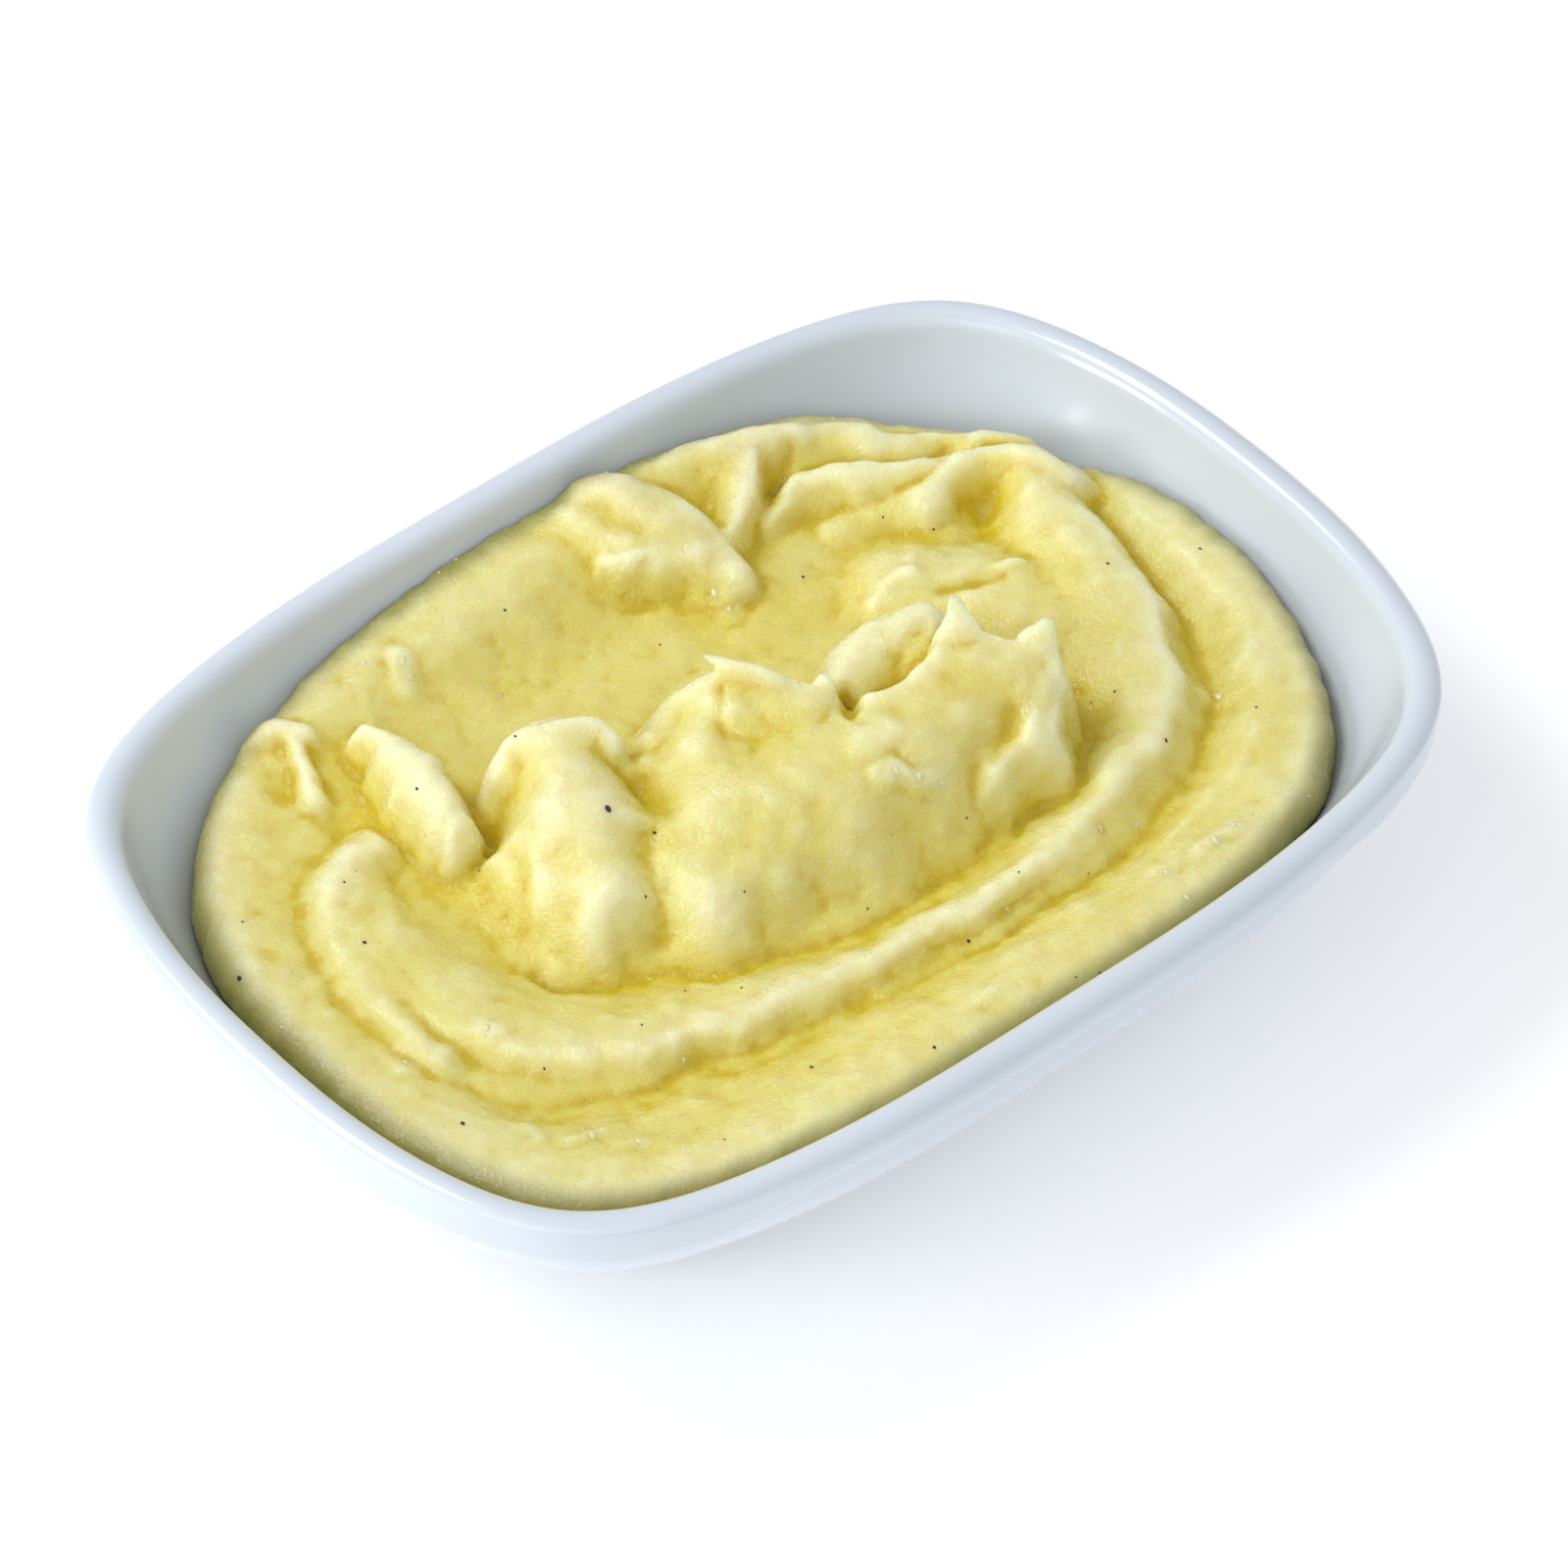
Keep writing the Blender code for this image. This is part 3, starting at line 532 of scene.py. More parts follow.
def dish_tree(values):
    """Nodes that sweep the dish's section round its outline."""
    tree, inputs = geometry_tree("moulded_dish", values)
    section = new_node(tree, "GeometryNodeMeshToCurve", Mesh=inputs["Geometry"])
    section = new_node(tree, "GeometryNodeCurveSplineType", {"spline_type": "CATMULL_ROM"}, Curve=section)
    section = new_node(tree, "GeometryNodeSetSplineResolution", Geometry=section,
                       Resolution=inputs["Section Steps"])
    section = new_node(tree, "GeometryNodeCurveToMesh", Curve=section)
    rows = flow(tree, "GeometryNodeAttributeDomainSize", "Point Count", {"component": "MESH"},
                Geometry=section)
    grid = new_node(tree, "GeometryNodeMeshGrid", Vertices_X=inputs["Turns"] + 1.0, Vertices_Y=rows)
    index = flow(tree, "GeometryNodeInputIndex")
    column = (index / rows).math("FLOOR")
    row = index - column * rows
    place = new_node(tree, "GeometryNodeInputPosition")
    at_row = new_node(tree, "GeometryNodeSampleIndex", {"data_type": "FLOAT_VECTOR", "domain": "POINT"},
                      Geometry=section, Value=place, Index=row)
    split = new_node(tree, "ShaderNodeSeparateXYZ", Vector=at_row)
    inset, depth, share = (Flow(tree, socket) for socket in split.outputs)

    even = column / inputs["Turns"] * FULL_TURN
    turn = even + (even * 4.0).math("SINE") * inputs["Corner Crowding"]
    cos, sin = turn.math("COSINE"), turn.math("SINE")
    corner = (turn * 2.0).math("SINE") ** 2.0
    power = inputs["Corner Power"]
    root = power.math("POWER", -1.0) * -1.0
    reach = (cos.math("ABSOLUTE") ** power + sin.math("ABSOLUTE") ** power) ** root
    trim = corner * (turn * 2.0).math("COSINE") * inputs["Skew Trim"] + corner * inputs["Side Trim"] \
        + corner ** 2.0 * inputs["Corner Trim"]
    reach = reach * trim.taken_from(1.0)
    quarter = sin.math("ABSOLUTE").math("ARCTAN2", cos.math("ABSOLUTE"))
    drop = flow(tree, "ShaderNodeMapRange", 0, {"interpolation_type": "SMOOTHSTEP"}, Value=quarter,
                From_Min=inputs["Drop Start"], From_Max=inputs["Drop End"], To_Min=0.0, To_Max=1.0)
    depth = depth + share * inputs["Rim Drop"] * drop
    gather_room = inputs["Width"] / 2.0 - inputs["Gather Inset"]
    gather = ((inset - inputs["Gather Inset"]) / gather_room).math("MAXIMUM", 0.0)
    inset = inset.math("MINIMUM", inputs["Gather Inset"])
    inward = inset * (corner * inputs["Corner Offset"]).taken_from(1.0) \
        + depth / inputs["Height"] * corner ** 2.0 * inputs["Wall Corner Extra"]
    across = gather.taken_from(1.0)
    place = new_node(tree, "ShaderNodeCombineXYZ",
                     X=(inputs["Length"] / 2.0 - inward) * reach * cos * across,
                     Y=(inputs["Width"] / 2.0 - inward) * reach * sin * across,
                     Z=(inputs["Height"] - depth).math("MAXIMUM", 0.0))
    shaped = new_node(tree, "GeometryNodeSetPosition", Geometry=grid, Position=place)
    closed = new_node(tree, "GeometryNodeMergeByDistance", Geometry=shaped, Distance=MERGE_DISTANCE)
    end_tree(tree, closed, inputs["Finish"])
    return tree


def section_mesh():
    """The dish's section as a string of points: inset, depth and share of the corner's drop."""
    points = [(inset * MM, depth * MM, share) for inset, depth, share in DISH_SECTION]
    mesh = bpy.data.meshes.new("dish_section")
    mesh.from_pydata(points, [(index, index + 1) for index in range(len(points) - 1)], [])
    return mesh


def make_dish(glaze):
    """The glazed dish: its section grown round its outline."""
    values = {**DISH_SIZES, "Finish": glaze}
    dish = grow("porcelain_dish", section_mesh(), dish_tree(values), values)
    face_outwards(dish.data)
    return dish


# ---------------------------------------------------------------- the potato's shape

def outline(turn, inset, depth):
    """Points (x, y) at these turns, moved in by the inset at this depth."""
    cos, sin = np.cos(turn), np.sin(turn)
    corner = np.sin(2.0 * turn) ** 2
    reach = (np.abs(cos) ** CORNER_POWER + np.abs(sin) ** CORNER_POWER) ** (-1.0 / CORNER_POWER)
    reach = reach * (1.0 - SKEW_TRIM * corner * np.cos(2.0 * turn) - SIDE_TRIM * corner
                     - CORNER_TRIM * corner ** 2)
    inward = inset * (1.0 - CORNER_OFFSET * corner) + WALL_CORNER_EXTRA * depth / HEIGHT * corner ** 2
    return (LENGTH / 2 - inward) * reach * cos, (WIDTH / 2 - inward) * reach * sin


def wall_inset(depth):
    """The inner wall's inset at these depths."""
    wall = np.array(INNER_WALL) * MM
    return np.interp(depth, wall[:, 1], wall[:, 0])


def spline(points, steps=SPLINE_STEPS):
    """A smooth path through the points (Catmull-Rom)."""
    points = np.array(points, float)
    padded = np.vstack([2 * points[0] - points[1], points, 2 * points[-1] - points[-2]])
    smooth = []
    for index in range(1, len(padded) - 2):
        before, start, stop, after = padded[index - 1:index + 3]
        for part in np.arange(steps) / steps:
            smooth.append(0.5 * (2 * start + (stop - before) * part
                                 + (2 * before - 5 * start + 4 * stop - after) * part ** 2
                                 + (3 * start - before - 3 * stop + after) * part ** 3))
    smooth.append(points[-1])
    return np.array(smooth)


def nearest_on(path, x, y):
    """How each point lies from a path: distance, side (1 left, -1 right), length along, row there."""
    best = np.full(x.shape, np.inf)
    side = np.zeros(x.shape)
    along = np.zeros(x.shape)
    row = np.zeros(x.shape + (path.shape[1],))
    travelled = 0.0
    for start, stop in zip(path, path[1:]):
        run = stop[:2] - start[:2]
        length = math.hypot(*run)
        part = np.clip(((x - start[0]) * run[0] + (y - start[1]) * run[1]) / (length ** 2 + 1e-12), 0, 1)
        off_x, off_y = x - start[0] - part * run[0], y - start[1] - part * run[1]
        away = np.hypot(off_x, off_y)
        nearer = away < best
        best[nearer] = away[nearer]
        side[nearer] = ((run[0] * off_y - run[1] * off_x) / (length * away + 1e-9))[nearer]
        along[nearer] = (travelled + part * length)[nearer]
        row[nearer] = (start + part[:, None] * (stop - start))[nearer]
        travelled += length
    return best, side, along, row


def beside(path, x, y, margin):
    """Which points lie within a margin of the path's box, and how they lie from the path."""
    low, high = path[:, :2].min(0) - margin, path[:, :2].max(0) + margin
    near = np.flatnonzero((x > low[0]) & (x < high[0]) & (y > low[1]) & (y < high[1]))
    return near, *nearest_on(path, x[near], y[near])


def soft_max(first, second, blend):
    """The larger of two heights, blended where they are close."""
    part = np.maximum(blend - np.abs(first - second), 0.0) / blend
    return np.maximum(first, second) + part ** 2 * blend / 4.0


def wander(u, v, seed):
    """Smooth random heights, about -1 to 1, over a plane; one bump is about one unit wide."""
    table = np.random.default_rng(seed).uniform(-1.0, 1.0, (RANDOM_CELLS, RANDOM_CELLS))
    column, row = np.floor(u).astype(int), np.floor(v).astype(int)
    part_u, part_v = u - column, v - row
    part_u, part_v = part_u ** 2 * (3 - 2 * part_u), part_v ** 2 * (3 - 2 * part_v)
    left, right = column % RANDOM_CELLS, (column + 1) % RANDOM_CELLS
    near, far = row % RANDOM_CELLS, (row + 1) % RANDOM_CELLS
    low = table[left, near] * (1 - part_u) + table[right, near] * part_u
    high = table[left, far] * (1 - part_u) + table[right, far] * part_u
    return low * (1 - part_v) + high * part_v


def bumps(x, y, layers):
    """Smooth random heights in layers."""
    return sum(height * wander(x / size, y / size, seed) for size, height, seed in layers)


def press(top, paths, x, y):
    """Press soft dips into the top along paths."""
    for path in map(spline, paths.values()):
        near, away, _, _, row = beside(path, x, y, DIP_REACH * path[:, 3].max())
        top[near] -= row[:, 2] * np.exp(-(away / row[:, 3]) ** 2)


def lay_folds(top, x, y):
    """Lay the folds on the top, each with its own width on either side."""
    for drop, power, blend, path in FOLDS.values():
        path = spline(path)
        near, away, side, _, row = beside(path, x, y, FOLD_REACH * path[:, 3:].max())
        half = row[:, 4] + (row[:, 3] - row[:, 4]) * (side + 1.0) / 2.0
        top[near] = soft_max(top[near], row[:, 2] - drop * (away / half) ** power, blend)


def cut_creases(top, x, y):
    """Cut the sharp creases into the top."""
    for path in map(spline, CREASES.values()):
        near, away, _, _, row = beside(path, x, y, CREASE_REACH * path[:, 3].max())
        top[near] -= row[:, 2] * np.maximum(1.0 - away / row[:, 3], 0.0) ** CREASE_POWER


def raise_lumps(top, x, y):
    """Raise the small lumps."""
    for start_x, start_y, stop_x, stop_y, rise, half in LUMPS:
        path = np.array([[start_x, start_y], [stop_x, stop_y]])
        near, away, *_ = beside(path, x, y, LUMP_REACH * half)
        top[near] += rise * np.exp(-(away / half) ** 4)


def draw_streaks(top, x, y):
    """Draw fine streaks along the dips that have them."""
    for name, reach, size in STREAKS:
        near, away, side, along, _ = beside(spline(DIPS[name]), x, y, STREAK_REACH * reach)
        streak = sum(share * wander(along / length, side * away / width + shift, seed)
                     for length, width, shift, share, seed in STREAK_LAYERS)
        top[near] += size * streak * np.exp(-(away / reach) ** 2)


def potato_height(x, y, wall_gap, bank):
    """The potato's height in mm from the rim's top at (x, y), wall_gap mm from a wall with this bank."""
    x, y = x + bumps(x, y, SWAY_X), y + bumps(x, y, SWAY_Y)
    top = BASE_TOP + (bank - BASE_TOP) * np.exp(-(np.maximum(wall_gap - BANK_START, 0.0) / BANK_FADE) ** 2)
    press(top, DIPS, x, y)
    lay_folds(top, x, y)
    press(top, PRESSED, x, y)
    cut_creases(top, x, y)
    raise_lumps(top, x, y)
    draw_streaks(top, x, y)
    return top + bumps(x, y, UNEVEN)


def potato_edge(turn):
    """How deep the potato meets the wall, in metres, and its bank's top, in mm, at these turns."""
    degrees, depths, banks = np.array(EDGE).T
    soften = np.hanning(2 * EDGE_SOFTENING + 1)
    soften = soften / soften.sum()
    smooth = []
    for values in (depths, banks):
        line = np.interp(np.degrees(turn), degrees, values, period=360.0)
        closed = np.concatenate([line[-EDGE_SOFTENING:], line, line[:EDGE_SOFTENING]])
        smooth.append(np.convolve(closed, soften, "valid"))
    depth, bank = smooth
    return (depth + EDGE_WAVE_DEPTH * wander(turn * EDGE_WAVES, 0.0 * turn, EDGE_SEED)) * MM, bank


def potato_skin():
    """A closed mesh of the potato before its surface is roughened: rings of points, in metres."""
    even = np.linspace(0.0, FULL_TURN, POTATO_TURNS, endpoint=False)
    turn = even + CORNER_CROWDING * np.sin(4.0 * even)
    edge, bank = potato_edge(turn)
    bottom = INNER_WALL[-1][1] * MM - FLOOR_CLEARANCE
    rings = []
    for share in np.linspace(0.0, 1.0, WALL_RINGS):
        depth = bottom + (edge - bottom) * share
        x, y = outline(turn, wall_inset(depth) + WALL_CLEARANCE, depth)
        rings.append(np.stack([x, y, HEIGHT - depth], 1))
    edge_x, edge_y = rings[-1][:, 0], rings[-1][:, 1]
    inward = (np.arange(1, POTATO_RINGS) / POTATO_RINGS)[:, None] ** RING_SPREAD
    x, y = edge_x * (1.0 - inward), edge_y * (1.0 - inward)
    wall_gap = np.hypot(edge_x, edge_y) * inward / MM
    rise = (1.0 - (1.0 - np.minimum(wall_gap / SHOULDER, 1.0)) ** SHOULDER_POWER) ** (1.0 / SHOULDER_POWER)
    banks = np.broadcast_to(bank, x.shape)
    top = potato_height(x.ravel() / MM, y.ravel() / MM, wall_gap.ravel(), banks.ravel())
    z = HEIGHT - edge + (top.reshape(x.shape) * MM + edge) * rise
    rings.extend(np.stack([x, y, z], 2))
    return rings


def mesh_from_rings(name, rings):
    """One closed mesh from rings of points, bottom's middle first, with a fan at each end."""
    count = len(rings[0])
    points = np.vstack([rings[0].mean(0)[None], *rings, rings[-1].mean(0)[None]])
    faces = []
    here = np.arange(count)
    there = (here + 1) % count
    for ring in range(len(rings) - 1):
        low, high = 1 + ring * count, 1 + (ring + 1) * count
        faces.extend(np.stack([low + here, low + there, high + there, high + here], 1).tolist())
    last = 1 + (len(rings) - 1) * count
    faces.extend([[0, 1 + b, 1 + a] for a, b in zip(here, there)])
    faces.extend([[len(points) - 1, last + a, last + b] for a, b in zip(here, there)])
    mesh = bpy.data.meshes.new(name)
    mesh.from_pydata(points.tolist(), [], faces)
    return mesh


def tip_rings(width_run, path):
    """Rings of a torn tip, in metres: flat ovals whose long way runs along the tear."""
    path = spline(path, TIP_STEPS) * MM
    run = Vector((*width_run, 0.0)).normalized()
    around = np.linspace(0.0, FULL_TURN, TIP_SIDES, endpoint=False)[:, None]
    rings = []
    for index, point in enumerate(path):
        ahead = Vector(path[min(index + 1, len(path) - 1)][:3] - path[max(index - 1, 0)][:3]).normalized()
        across = (run - ahead * run.dot(ahead)).normalized()
        thin = ahead.cross(across)
        rings.append(point[:3] + Vector((0, 0, HEIGHT)) + np.cos(around) * point[3] * np.array(across)
                     + np.sin(around) * point[4] * np.array(thin))
    return rings


def surface_tree(values):
    """Nodes that roughen the potato's skin, and note where it is crested or hollow, near and wide."""
    tree, inputs = geometry_tree("potato_surface", values)
    place = new_node(tree, "GeometryNodeInputPosition")
    normal = new_node(tree, "GeometryNodeInputNormal")
    height = flow(tree, "ShaderNodeSeparateXYZ", "Z", Vector=place)
    shown = flow(tree, "ShaderNodeMapRange", Value=height, To_Min=0.0, To_Max=1.0,
                 From_Min=inputs["Foot Height"] - inputs["Foot Fade"], From_Max=inputs["Foot Height"])
    layers = []
    for name, turn in (("Lump", 0.0), ("Grain", 7.0)):
        cloud = flow(tree, "ShaderNodeTexNoise", 0, {"noise_dimensions": "4D"}, Vector=place,
                     W=inputs["Seed"] + turn, Scale=inputs[name + " Size"].math("POWER", -1.0),
                     Detail=2.0, Roughness=0.5)
        layers.append((cloud - 0.5) * inputs[name + " Depth"])
    offset = new_node(tree, "ShaderNodeVectorMath", {"operation": "SCALE"}, Vector=normal,
                      Scale=(layers[0] + layers[1]) * shown)
    shaped = new_node(tree, "GeometryNodeSetPosition", Geometry=inputs["Geometry"], Offset=offset)
    # The ridge and fold heights stored here steer the painted shade in the hollows and the painted highlight
    # on the crests
    for name, reach in (("ridge", "Ridge Reach"), ("fold", "Fold Reach")):
        level = new_node(tree, "GeometryNodeBlurAttribute", {"data_type": "FLOAT_VECTOR"}, Value=place,
                         Iterations=inputs[reach])
        above = vector_math(tree, "SUBTRACT", place, level)
        outward = vector_math(tree, "DOT_PRODUCT", above, normal)
        shaped = new_node(tree, "GeometryNodeStoreNamedAttribute", {"data_type": "FLOAT", "domain": "POINT"},
                          Geometry=shaped, Name=name, Value=outward.outputs["Value"])
    end_tree(tree, shaped, inputs["Finish"])
    return tree


def points_of(mesh):
    """A mesh's points as an array of rows."""
    points = np.empty(len(mesh.vertices) * 3, np.float32)
    mesh.vertices.foreach_get("co", points)
    return points.reshape(-1, 3)


def beyond_wall_line(points, wall_line):
    """How far in mm each point is inside the line where the potato meets the wall, and above it."""
    around = np.arctan2(wall_line[:, 1], wall_line[:, 0])
    angle = np.arctan2(points[:, 1], points[:, 0])
    reach = np.interp(angle, around, np.hypot(wall_line[:, 0], wall_line[:, 1]), period=FULL_TURN)
    level = np.interp(angle, around, wall_line[:, 2], period=FULL_TURN)
    return (reach - np.hypot(points[:, 0], points[:, 1])) / MM, (points[:, 2] - level) / MM


def joined_skin(rings):
    """One even mesh of the potato's skin with its torn tips."""
    mesh = mesh_from_rings("mashed_potato_mass", rings)
    sheet = bmesh.new()
    sheet.from_mesh(mesh)
    for run, path in TIPS.values():
        tip = mesh_from_rings("tip", tip_rings(run, path))
        face_outwards(tip)
        sheet.from_mesh(tip)
    sheet.to_mesh(mesh)
    sheet.free()
    face_outwards(mesh)
    holder = new_object("potato_skin", mesh)
    remesh = holder.modifiers.new("even", "REMESH")
    remesh.mode = "VOXEL"
    remesh.voxel_size = REMESH_SIZE
    even = evaluated_mesh(holder)
    bpy.data.objects.remove(holder)
    return even


def thin_hidden(potato, wall_line):
    """Thin the mesh where it doesn't show, and leave what shows as fine as it is."""
    points = points_of(potato.data)
    gap, above = beyond_wall_line(points, wall_line)
    unseen = (points[:, 2] < HEIGHT - HIDDEN_DEPTH) | ((gap < HIDDEN_GAP) & (above < -HIDDEN_DROP))
    hidden = potato.vertex_groups.new(name="hidden")
    hidden.add(np.flatnonzero(unseen).tolist(), 1.0, "REPLACE")
    fewer = potato.modifiers.new("fewer", "DECIMATE")
    fewer.vertex_group = "hidden"
    fewer.ratio = MOST_FACES / (2.0 * len(potato.data.polygons))
    apply_modifiers(potato)
    potato.vertex_groups.clear()


def make_potato(flesh):
    """The swirled mass of potato, with how far each point is from the wall as an attribute."""
    rings = potato_skin()
    wall_line = rings[WALL_RINGS - 1]
    values = {**SURFACE, "Finish": flesh}
    potato = grow("mashed_potato_mass", joined_skin(rings), surface_tree(values), values)
    thin_hidden(potato, wall_line)
    points = points_of(potato.data)
    points[:, 2] = np.minimum(points[:, 2], HIGHEST)
    potato.data.vertices.foreach_set("co", points.ravel())
    gap, _ = beyond_wall_line(points, wall_line)
    # edge_gap also steers the painted shade beside the wall
    noted = potato.data.attributes.new("edge_gap", "FLOAT", "POINT")
    noted.data.foreach_set("value", np.clip(gap, 0.0, FARTHEST_GAP))
    potato.data.shade_smooth()
    return potato


# ---------------------------------------------------------------- pepper and crumbs

def noted(tree, points, name, kind, value):
    """Points with a value stored on them by name."""
    return new_node(tree, "GeometryNodeStoreNamedAttribute", {"data_type": kind, "domain": "POINT"},
                    Geometry=points, Name=name, Value=value)


def given_places(tree, inputs, surface):
    """The given points dropped on the surface."""
    points = new_node(tree, "GeometryNodeMeshToPoints", Mesh=inputs["Geometry"])
    drop = new_node(tree, "GeometryNodeRaycast", {"data_type": "FLOAT"}, Target_Geometry=surface,
                    Ray_Direction=(0.0, 0.0, -1.0), Ray_Length=1.0)
    points = noted(tree, points, "facing", "FLOAT_VECTOR", drop.outputs["Hit Normal"])
    return new_node(tree, "GeometryNodeSetPosition", Geometry=points,
                    Position=drop.outputs["Hit Position"])


def random_places(tree, inputs, surface, place):
    """Random points on the parts of the surface that face up and stand high enough."""
    facing = new_node(tree, "GeometryNodeInputNormal")
    upward = flow(tree, "ShaderNodeSeparateXYZ", "Z", Vector=facing).math("GREATER_THAN", FACING_UP)
    height = flow(tree, "ShaderNodeSeparateXYZ", "Z", Vector=place)
    spread = new_node(tree, "GeometryNodeDistributePointsOnFaces", {"distribute_method": "RANDOM"},
                      Mesh=surface, Selection=upward * height.math("GREATER_THAN", inputs["Lowest"]),
                      Density=inputs["Density"], Seed=inputs["Seed"])
    points = noted(tree, spread.outputs["Points"], "facing", "FLOAT_VECTOR", spread.outputs["Normal"])
    size = new_node(tree, "FunctionNodeRandomValue", {"data_type": "FLOAT"}, Min=inputs["Smallest"],
                    Max=inputs["Largest"], Seed=inputs["Seed"] + 5.0)
    return noted(tree, points, "size", "FLOAT", live_output(size))


def grain_turn(tree, inputs):
    """Each grain lies flat on the surface, turned at random."""
    facing = new_node(tree, "GeometryNodeInputNamedAttribute", {"data_type": "FLOAT_VECTOR"}, Name="facing")
    lie = new_node(tree, "FunctionNodeAlignRotationToVector", {"axis": "Z"},
                   Vector=facing.outputs["Attribute"])
    spin = new_node(tree, "FunctionNodeRandomValue", {"data_type": "FLOAT"}, Min=0.0, Max=FULL_TURN,
                    Seed=inputs["Seed"] + 9.0)
    spin = new_node(tree, "ShaderNodeCombineXYZ", Z=live_output(spin))
    spin = new_node(tree, "FunctionNodeEulerToRotation", Euler=spin)
    return new_node(tree, "FunctionNodeRotateRotation", {"rotation_space": "LOCAL"},
                    Rotation=lie, Rotate_By=spin)


def scatter_tree(values):
    """Nodes that set small lumpy grains on a surface, at given places and at random ones."""
    tree, inputs = geometry_tree("scattered_grains", values)
    surface = new_node(tree, "GeometryNodeObjectInfo", {"transform_space": "RELATIVE"},
                       Object=inputs["Surface"]).outputs["Geometry"]
    place = new_node(tree, "GeometryNodeInputPosition")
    join = new_node(tree, "GeometryNodeJoinGeometry")
    plug(tree, given_places(tree, inputs, surface), join.inputs[0])
    plug(tree, random_places(tree, inputs, surface, place), join.inputs[0])
    grain = new_node(tree, "GeometryNodeMeshIcoSphere", Radius=1.0, Subdivisions=2)
    stretch = new_node(tree, "ShaderNodeCombineXYZ", X=inputs["Length"], Y=1.0, Z=inputs["Flatness"])
    low = new_node(tree, "ShaderNodeCombineXYZ", Z=inputs["Sink"] * -1.0)
    grain = new_node(tree, "GeometryNodeTransform", Geometry=grain, Scale=stretch,
                     Translation=low)
    width = new_node(tree, "GeometryNodeInputNamedAttribute", {"data_type": "FLOAT"}, Name="size")
    set_down = new_node(tree, "GeometryNodeInstanceOnPoints", Points=join,
                        Instance=grain, Rotation=grain_turn(tree, inputs),
                        Scale=width.outputs["Attribute"])
    real = new_node(tree, "GeometryNodeRealizeInstances", Geometry=set_down)
    reach = inputs["Largest"]
    cloud = flow(tree, "ShaderNodeTexNoise", Vector=place, Scale=reach.math("POWER", -1.0), Detail=1.0)
    normal = new_node(tree, "GeometryNodeInputNormal")
    offset = new_node(tree, "ShaderNodeVectorMath", {"operation": "SCALE"}, Vector=normal,
                      Scale=(cloud - 0.5) * inputs["Lumpiness"] * reach * 2.0)
    lumpy = new_node(tree, "GeometryNodeSetPosition", Geometry=real, Offset=offset)
    smooth = new_node(tree, "GeometryNodeSetShadeSmooth", Geometry=lumpy)
    end_tree(tree, smooth, inputs["Finish"])
    return tree


def scatter(name, surface, places, sizes, finish):
    """Grains on the potato: places are rows of (x, y, size) in mm, and the tree adds random ones."""
    base = bpy.data.meshes.new(name)
    base.from_pydata([(x * MM, y * MM, 2.0 * HEIGHT) for x, y, size in places], [], [])
    noted_size = base.attributes.new("size", "FLOAT", "POINT")
    noted_size.data.foreach_set("value", [size * MM for x, y, size in places])
    values = {"Surface": surface, **sizes, "Finish": finish}
    return grow(name, base, scatter_tree(values), values)


# ---------------------------------------------------------------- materials

def shader_tree(name):
    """A material with its node tree, Principled shader and Object coordinates."""
    material = bpy.data.materials.new(name)
    material.use_nodes = True
    tree = material.node_tree
    shader = tree.nodes["Principled BSDF"]
    coordinates = tree.nodes.new("ShaderNodeTexCoord").outputs["Object"]
    return material, tree, shader, coordinates


def speckle(tree, coordinates, size, detail=3.0, roughness=0.5, distortion=0.0):
    """Noise of a given grain size in metres, from 0 to 1."""
    return new_node(tree, "ShaderNodeTexNoise", Vector=coordinates, Scale=1.0 / size, Detail=detail,
                    Roughness=roughness, Distortion=distortion)


def ramp(tree, value, *stops):
    """Colours or greys along a value from 0 to 1."""
    node = new_node(tree, "ShaderNodeValToRGB", Fac=value)
    band = node.color_ramp
    while len(band.elements) < len(stops):
        band.elements.new(0.5)
    for element, (place, colour) in zip(band.elements, stops):
        element.position = place
        element.color = (*colour, 1.0) if isinstance(colour, tuple) else (colour, colour, colour, 1.0)
    return node.outputs["Color"]


def mix_colours(tree, share, first, second):
    """Two colours mixed by a share from 0 to 1; the node's sockets 6, 7 and 2 are its colours."""
    node = new_node(tree, "ShaderNodeMix", {"data_type": "RGBA"})
    for index, value in ((0, share), (6, first), (7, second)):
        plug(tree, value if not isinstance(value, tuple) else (*value, 1.0), node.inputs[index])
    return node.outputs[2]


def set_shader(shader, **values):
    """Plain values on the shader's own sockets; a name has _ for each space."""
    for key, value in values.items():
        shader.inputs[key.replace("_", " ")].default_value = value


def feed_shader(tree, shader, colour, roughness, bump=None):
    """Link the colour, the roughness and, if there is one, the bump into the shader."""
    plug(tree, colour, shader.inputs["Base Color"])
    plug(tree, roughness, shader.inputs["Roughness"])
    if bump:
        plug(tree, bump, shader.inputs["Normal"])


def glaze_material():
    """Glossy white porcelain glaze, a little cool and gently waved."""
    material, tree, shader, coordinates = shader_tree("porcelain_glaze")
    cloud = speckle(tree, coordinates, 30.0 * MM, 2.0)
    fine = speckle(tree, coordinates, 4.0 * MM, 2.0)
    wave = speckle(tree, coordinates, 12.0 * MM, 2.0, 0.4)
    bump = new_node(tree, "ShaderNodeBump", Strength=0.25, Distance=0.4 * MM, Height=wave)
    feed_shader(tree, shader, ramp(tree, cloud, (0.3, (0.60, 0.65, 0.71)), (0.7, (0.63, 0.68, 0.74))),
                ramp(tree, fine, (0.3, 0.16), (0.7, 0.24)), bump)
    set_shader(shader, IOR=1.5, Coat_Weight=0.3, Coat_Roughness=0.10)
    return material


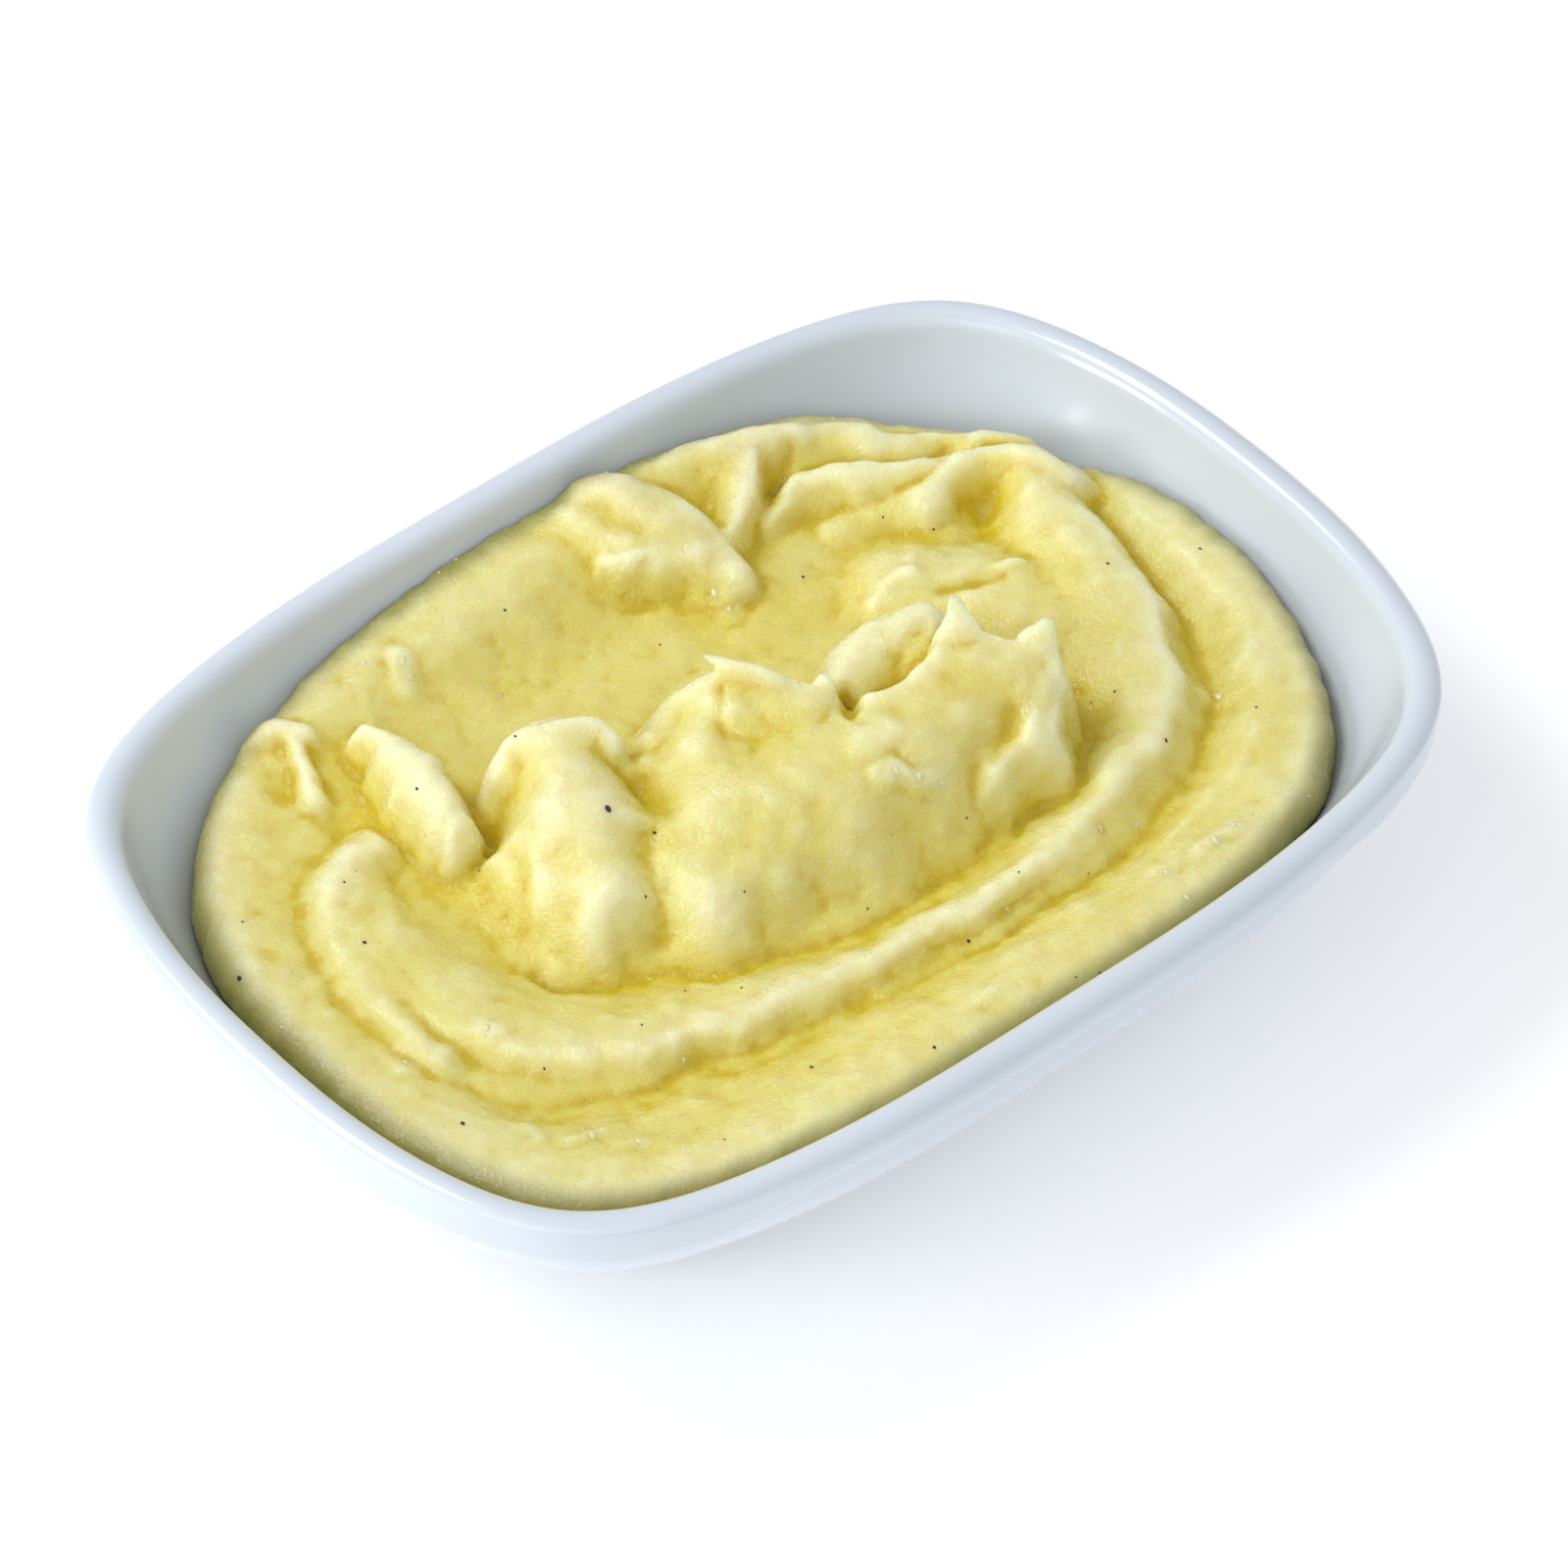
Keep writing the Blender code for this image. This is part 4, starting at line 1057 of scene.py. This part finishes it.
def potato_colours(tree, coordinates, deep, middle, bright, pale, share):
    """The potato's mottled yellow, and its grain for the roughness."""
    patch = speckle(tree, coordinates, 14.0 * MM, 3.0, 0.55)
    grain = speckle(tree, coordinates, 1.1 * MM, 3.0, 0.6)
    broad = ramp(tree, patch, (0.30, deep), (0.52, middle), (0.72, bright))
    return mix_colours(tree, ramp(tree, grain, (0.58, 0.0), (0.80, share)), broad, pale), grain


def flesh_material():
    """Moist, translucent mashed potato: golden painted shade in its creases, a pale painted highlight on its
    crests and a darker painted shade beside the wall.
    """
    material, tree, shader, coordinates = shader_tree("buttery_potato")
    colour, grain = potato_colours(tree, coordinates, *FLESH)
    # Golden painted shade in the hollows and a pale painted highlight on the crests, set by the fold and
    # ridge heights
    for name, start, full, strength, painted_shading in HOLLOW_SHADE_AND_CREST_HIGHLIGHT:
        height = flow(tree, "ShaderNodeAttribute", "Fac", {"attribute_name": name}) * (1.0 / MM)
        share = new_node(tree, "ShaderNodeMapRange", Value=height, From_Min=start, From_Max=full,
                         To_Min=0.0, To_Max=strength)
        colour = mix_colours(tree, share, colour, painted_shading)
    # Painted shade: a darker olive band on the potato close to the wall, where the wall shades it
    full, end, strength, painted_shading = WALL_SHADE_BAND
    gap = new_node(tree, "ShaderNodeAttribute", {"attribute_name": "edge_gap"}).outputs["Fac"]
    edge = new_node(tree, "ShaderNodeMapRange", {"interpolation_type": "SMOOTHSTEP"}, Value=gap,
                    From_Min=full, From_Max=end, To_Min=strength, To_Max=0.0)
    colour = mix_colours(tree, edge, colour, painted_shading)
    lump = speckle(tree, coordinates, 2.4 * MM, 3.0, 0.6, 0.4)
    fine = speckle(tree, coordinates, 0.55 * MM, 2.0, 0.55)
    broad = new_node(tree, "ShaderNodeBump", Strength=0.5, Distance=0.5 * MM, Height=lump)
    bump = new_node(tree, "ShaderNodeBump", Strength=0.9, Distance=0.27 * MM, Height=fine,
                    Normal=broad)
    feed_shader(tree, shader, colour, ramp(tree, grain, (0.34, 0.30), (0.54, 0.20), (0.68, 0.10)), bump)
    set_shader(shader, Subsurface_Weight=1.0, Subsurface_Radius=(1.0, 0.62, 0.11),
               Subsurface_Scale=4.5 * MM, IOR=1.48)
    return material


def crumb_material():
    """Paler, drier bits of potato."""
    material, tree, shader, coordinates = shader_tree("pale_potato_crumb")
    colour, grain = potato_colours(tree, coordinates, *CRUMB)
    bump = new_node(tree, "ShaderNodeBump", Strength=0.6, Distance=0.2 * MM, Height=grain)
    feed_shader(tree, shader, colour, ramp(tree, grain, (0.3, 0.36), (0.7, 0.16)), bump)
    set_shader(shader, Subsurface_Weight=0.3, Subsurface_Radius=(1.0, 0.72, 0.2),
               Subsurface_Scale=0.6 * MM)
    return material


def pepper_material():
    """Near-black ground pepper."""
    material, tree, shader, coordinates = shader_tree("ground_pepper")
    grain = speckle(tree, coordinates, 0.2 * MM, 2.0)
    bump = new_node(tree, "ShaderNodeBump", Strength=0.5, Distance=0.05 * MM, Height=grain)
    feed_shader(tree, shader, ramp(tree, grain, (0.3, (0.010, 0.007, 0.005)), (0.7, (0.06, 0.035, 0.018))),
                ramp(tree, grain, (0.3, 0.75), (0.7, 0.45)), bump)
    return material


def floor_material():
    """A plain pale floor that shines a little of its own, like a lit backdrop."""
    material, tree, shader, coordinates = shader_tree("pale_floor")
    cloud = speckle(tree, coordinates, 300.0 * MM, 2.0)
    feed_shader(tree, shader, ramp(tree, cloud, (0.3, (0.93, 0.93, 0.935)), (0.7, (0.95, 0.95, 0.955))),
                ramp(tree, cloud, (0.3, 0.75), (0.7, 0.85)))
    set_shader(shader, Specular_IOR_Level=0.2, Emission_Color=(1.0, 1.0, 1.0, 1.0),
               Emission_Strength=0.19)
    return material


# ---------------------------------------------------------------- stage

def make_camera():
    """The camera, looking down across the dish's near corner."""
    flat = math.cos(CAMERA_ELEVATION)
    back = Vector((math.sin(CAMERA_AZIMUTH) * flat, -math.cos(CAMERA_AZIMUTH) * flat,
                   math.sin(CAMERA_ELEVATION)))
    lens = bpy.data.cameras.new("camera")
    lens.sensor_width = 36.0
    lens.lens = CAMERA_LENS
    lens.clip_end = 10.0
    camera = new_object("camera", lens)
    camera.location = Vector(CAMERA_TARGET) + back * CAMERA_DISTANCE
    camera.rotation_euler = back.to_track_quat("Z", "Y").to_euler()
    bpy.context.scene.camera = camera


def make_light(name, toward, distance, size, power, colour):
    """A soft square light that looks at the dish from a direction."""
    lamp = bpy.data.lights.new(name, "AREA")
    lamp.shape = "RECTANGLE"
    lamp.size, lamp.size_y = size
    lamp.energy = power
    lamp.color = colour
    light = new_object(name, lamp)
    direction = Vector(toward).normalized()
    light.location = direction * distance
    light.rotation_euler = direction.to_track_quat("Z", "Y").to_euler()


def make_stage():
    """The floor, the lights and the world's soft light."""
    mesh = bpy.data.meshes.new("floor")
    corners = [(-1, -1), (1, -1), (1, 1), (-1, 1)]
    mesh.from_pydata([(x * FLOOR_REACH, y * FLOOR_REACH, 0) for x, y in corners], [], [(0, 1, 2, 3)])
    mesh.materials.append(floor_material())
    new_object("floor", mesh)
    world = bpy.data.worlds.new("studio")
    world.use_nodes = True
    background = world.node_tree.nodes["Background"]
    background.inputs["Color"].default_value = WORLD_COLOUR
    background.inputs["Strength"].default_value = WORLD_STRENGTH
    bpy.context.scene.world = world
    for name, settings in LIGHTS.items():
        make_light(name, *settings)
    bpy.context.scene.view_settings.view_transform = "Standard"


make_camera()
make_stage()
dish = make_dish(glaze_material())
potato = make_potato(flesh_material())
pepper = scatter("pepper_specks", potato, SPECKS, PEPPER, pepper_material())
crumbs = scatter("potato_crumbs", potato, FLAKES, CRUMBS, crumb_material())

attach(dish, "root")
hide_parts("dish")
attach(potato, "root")
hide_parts("mashed_potato")
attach(pepper, "root")
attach(crumbs, "root")
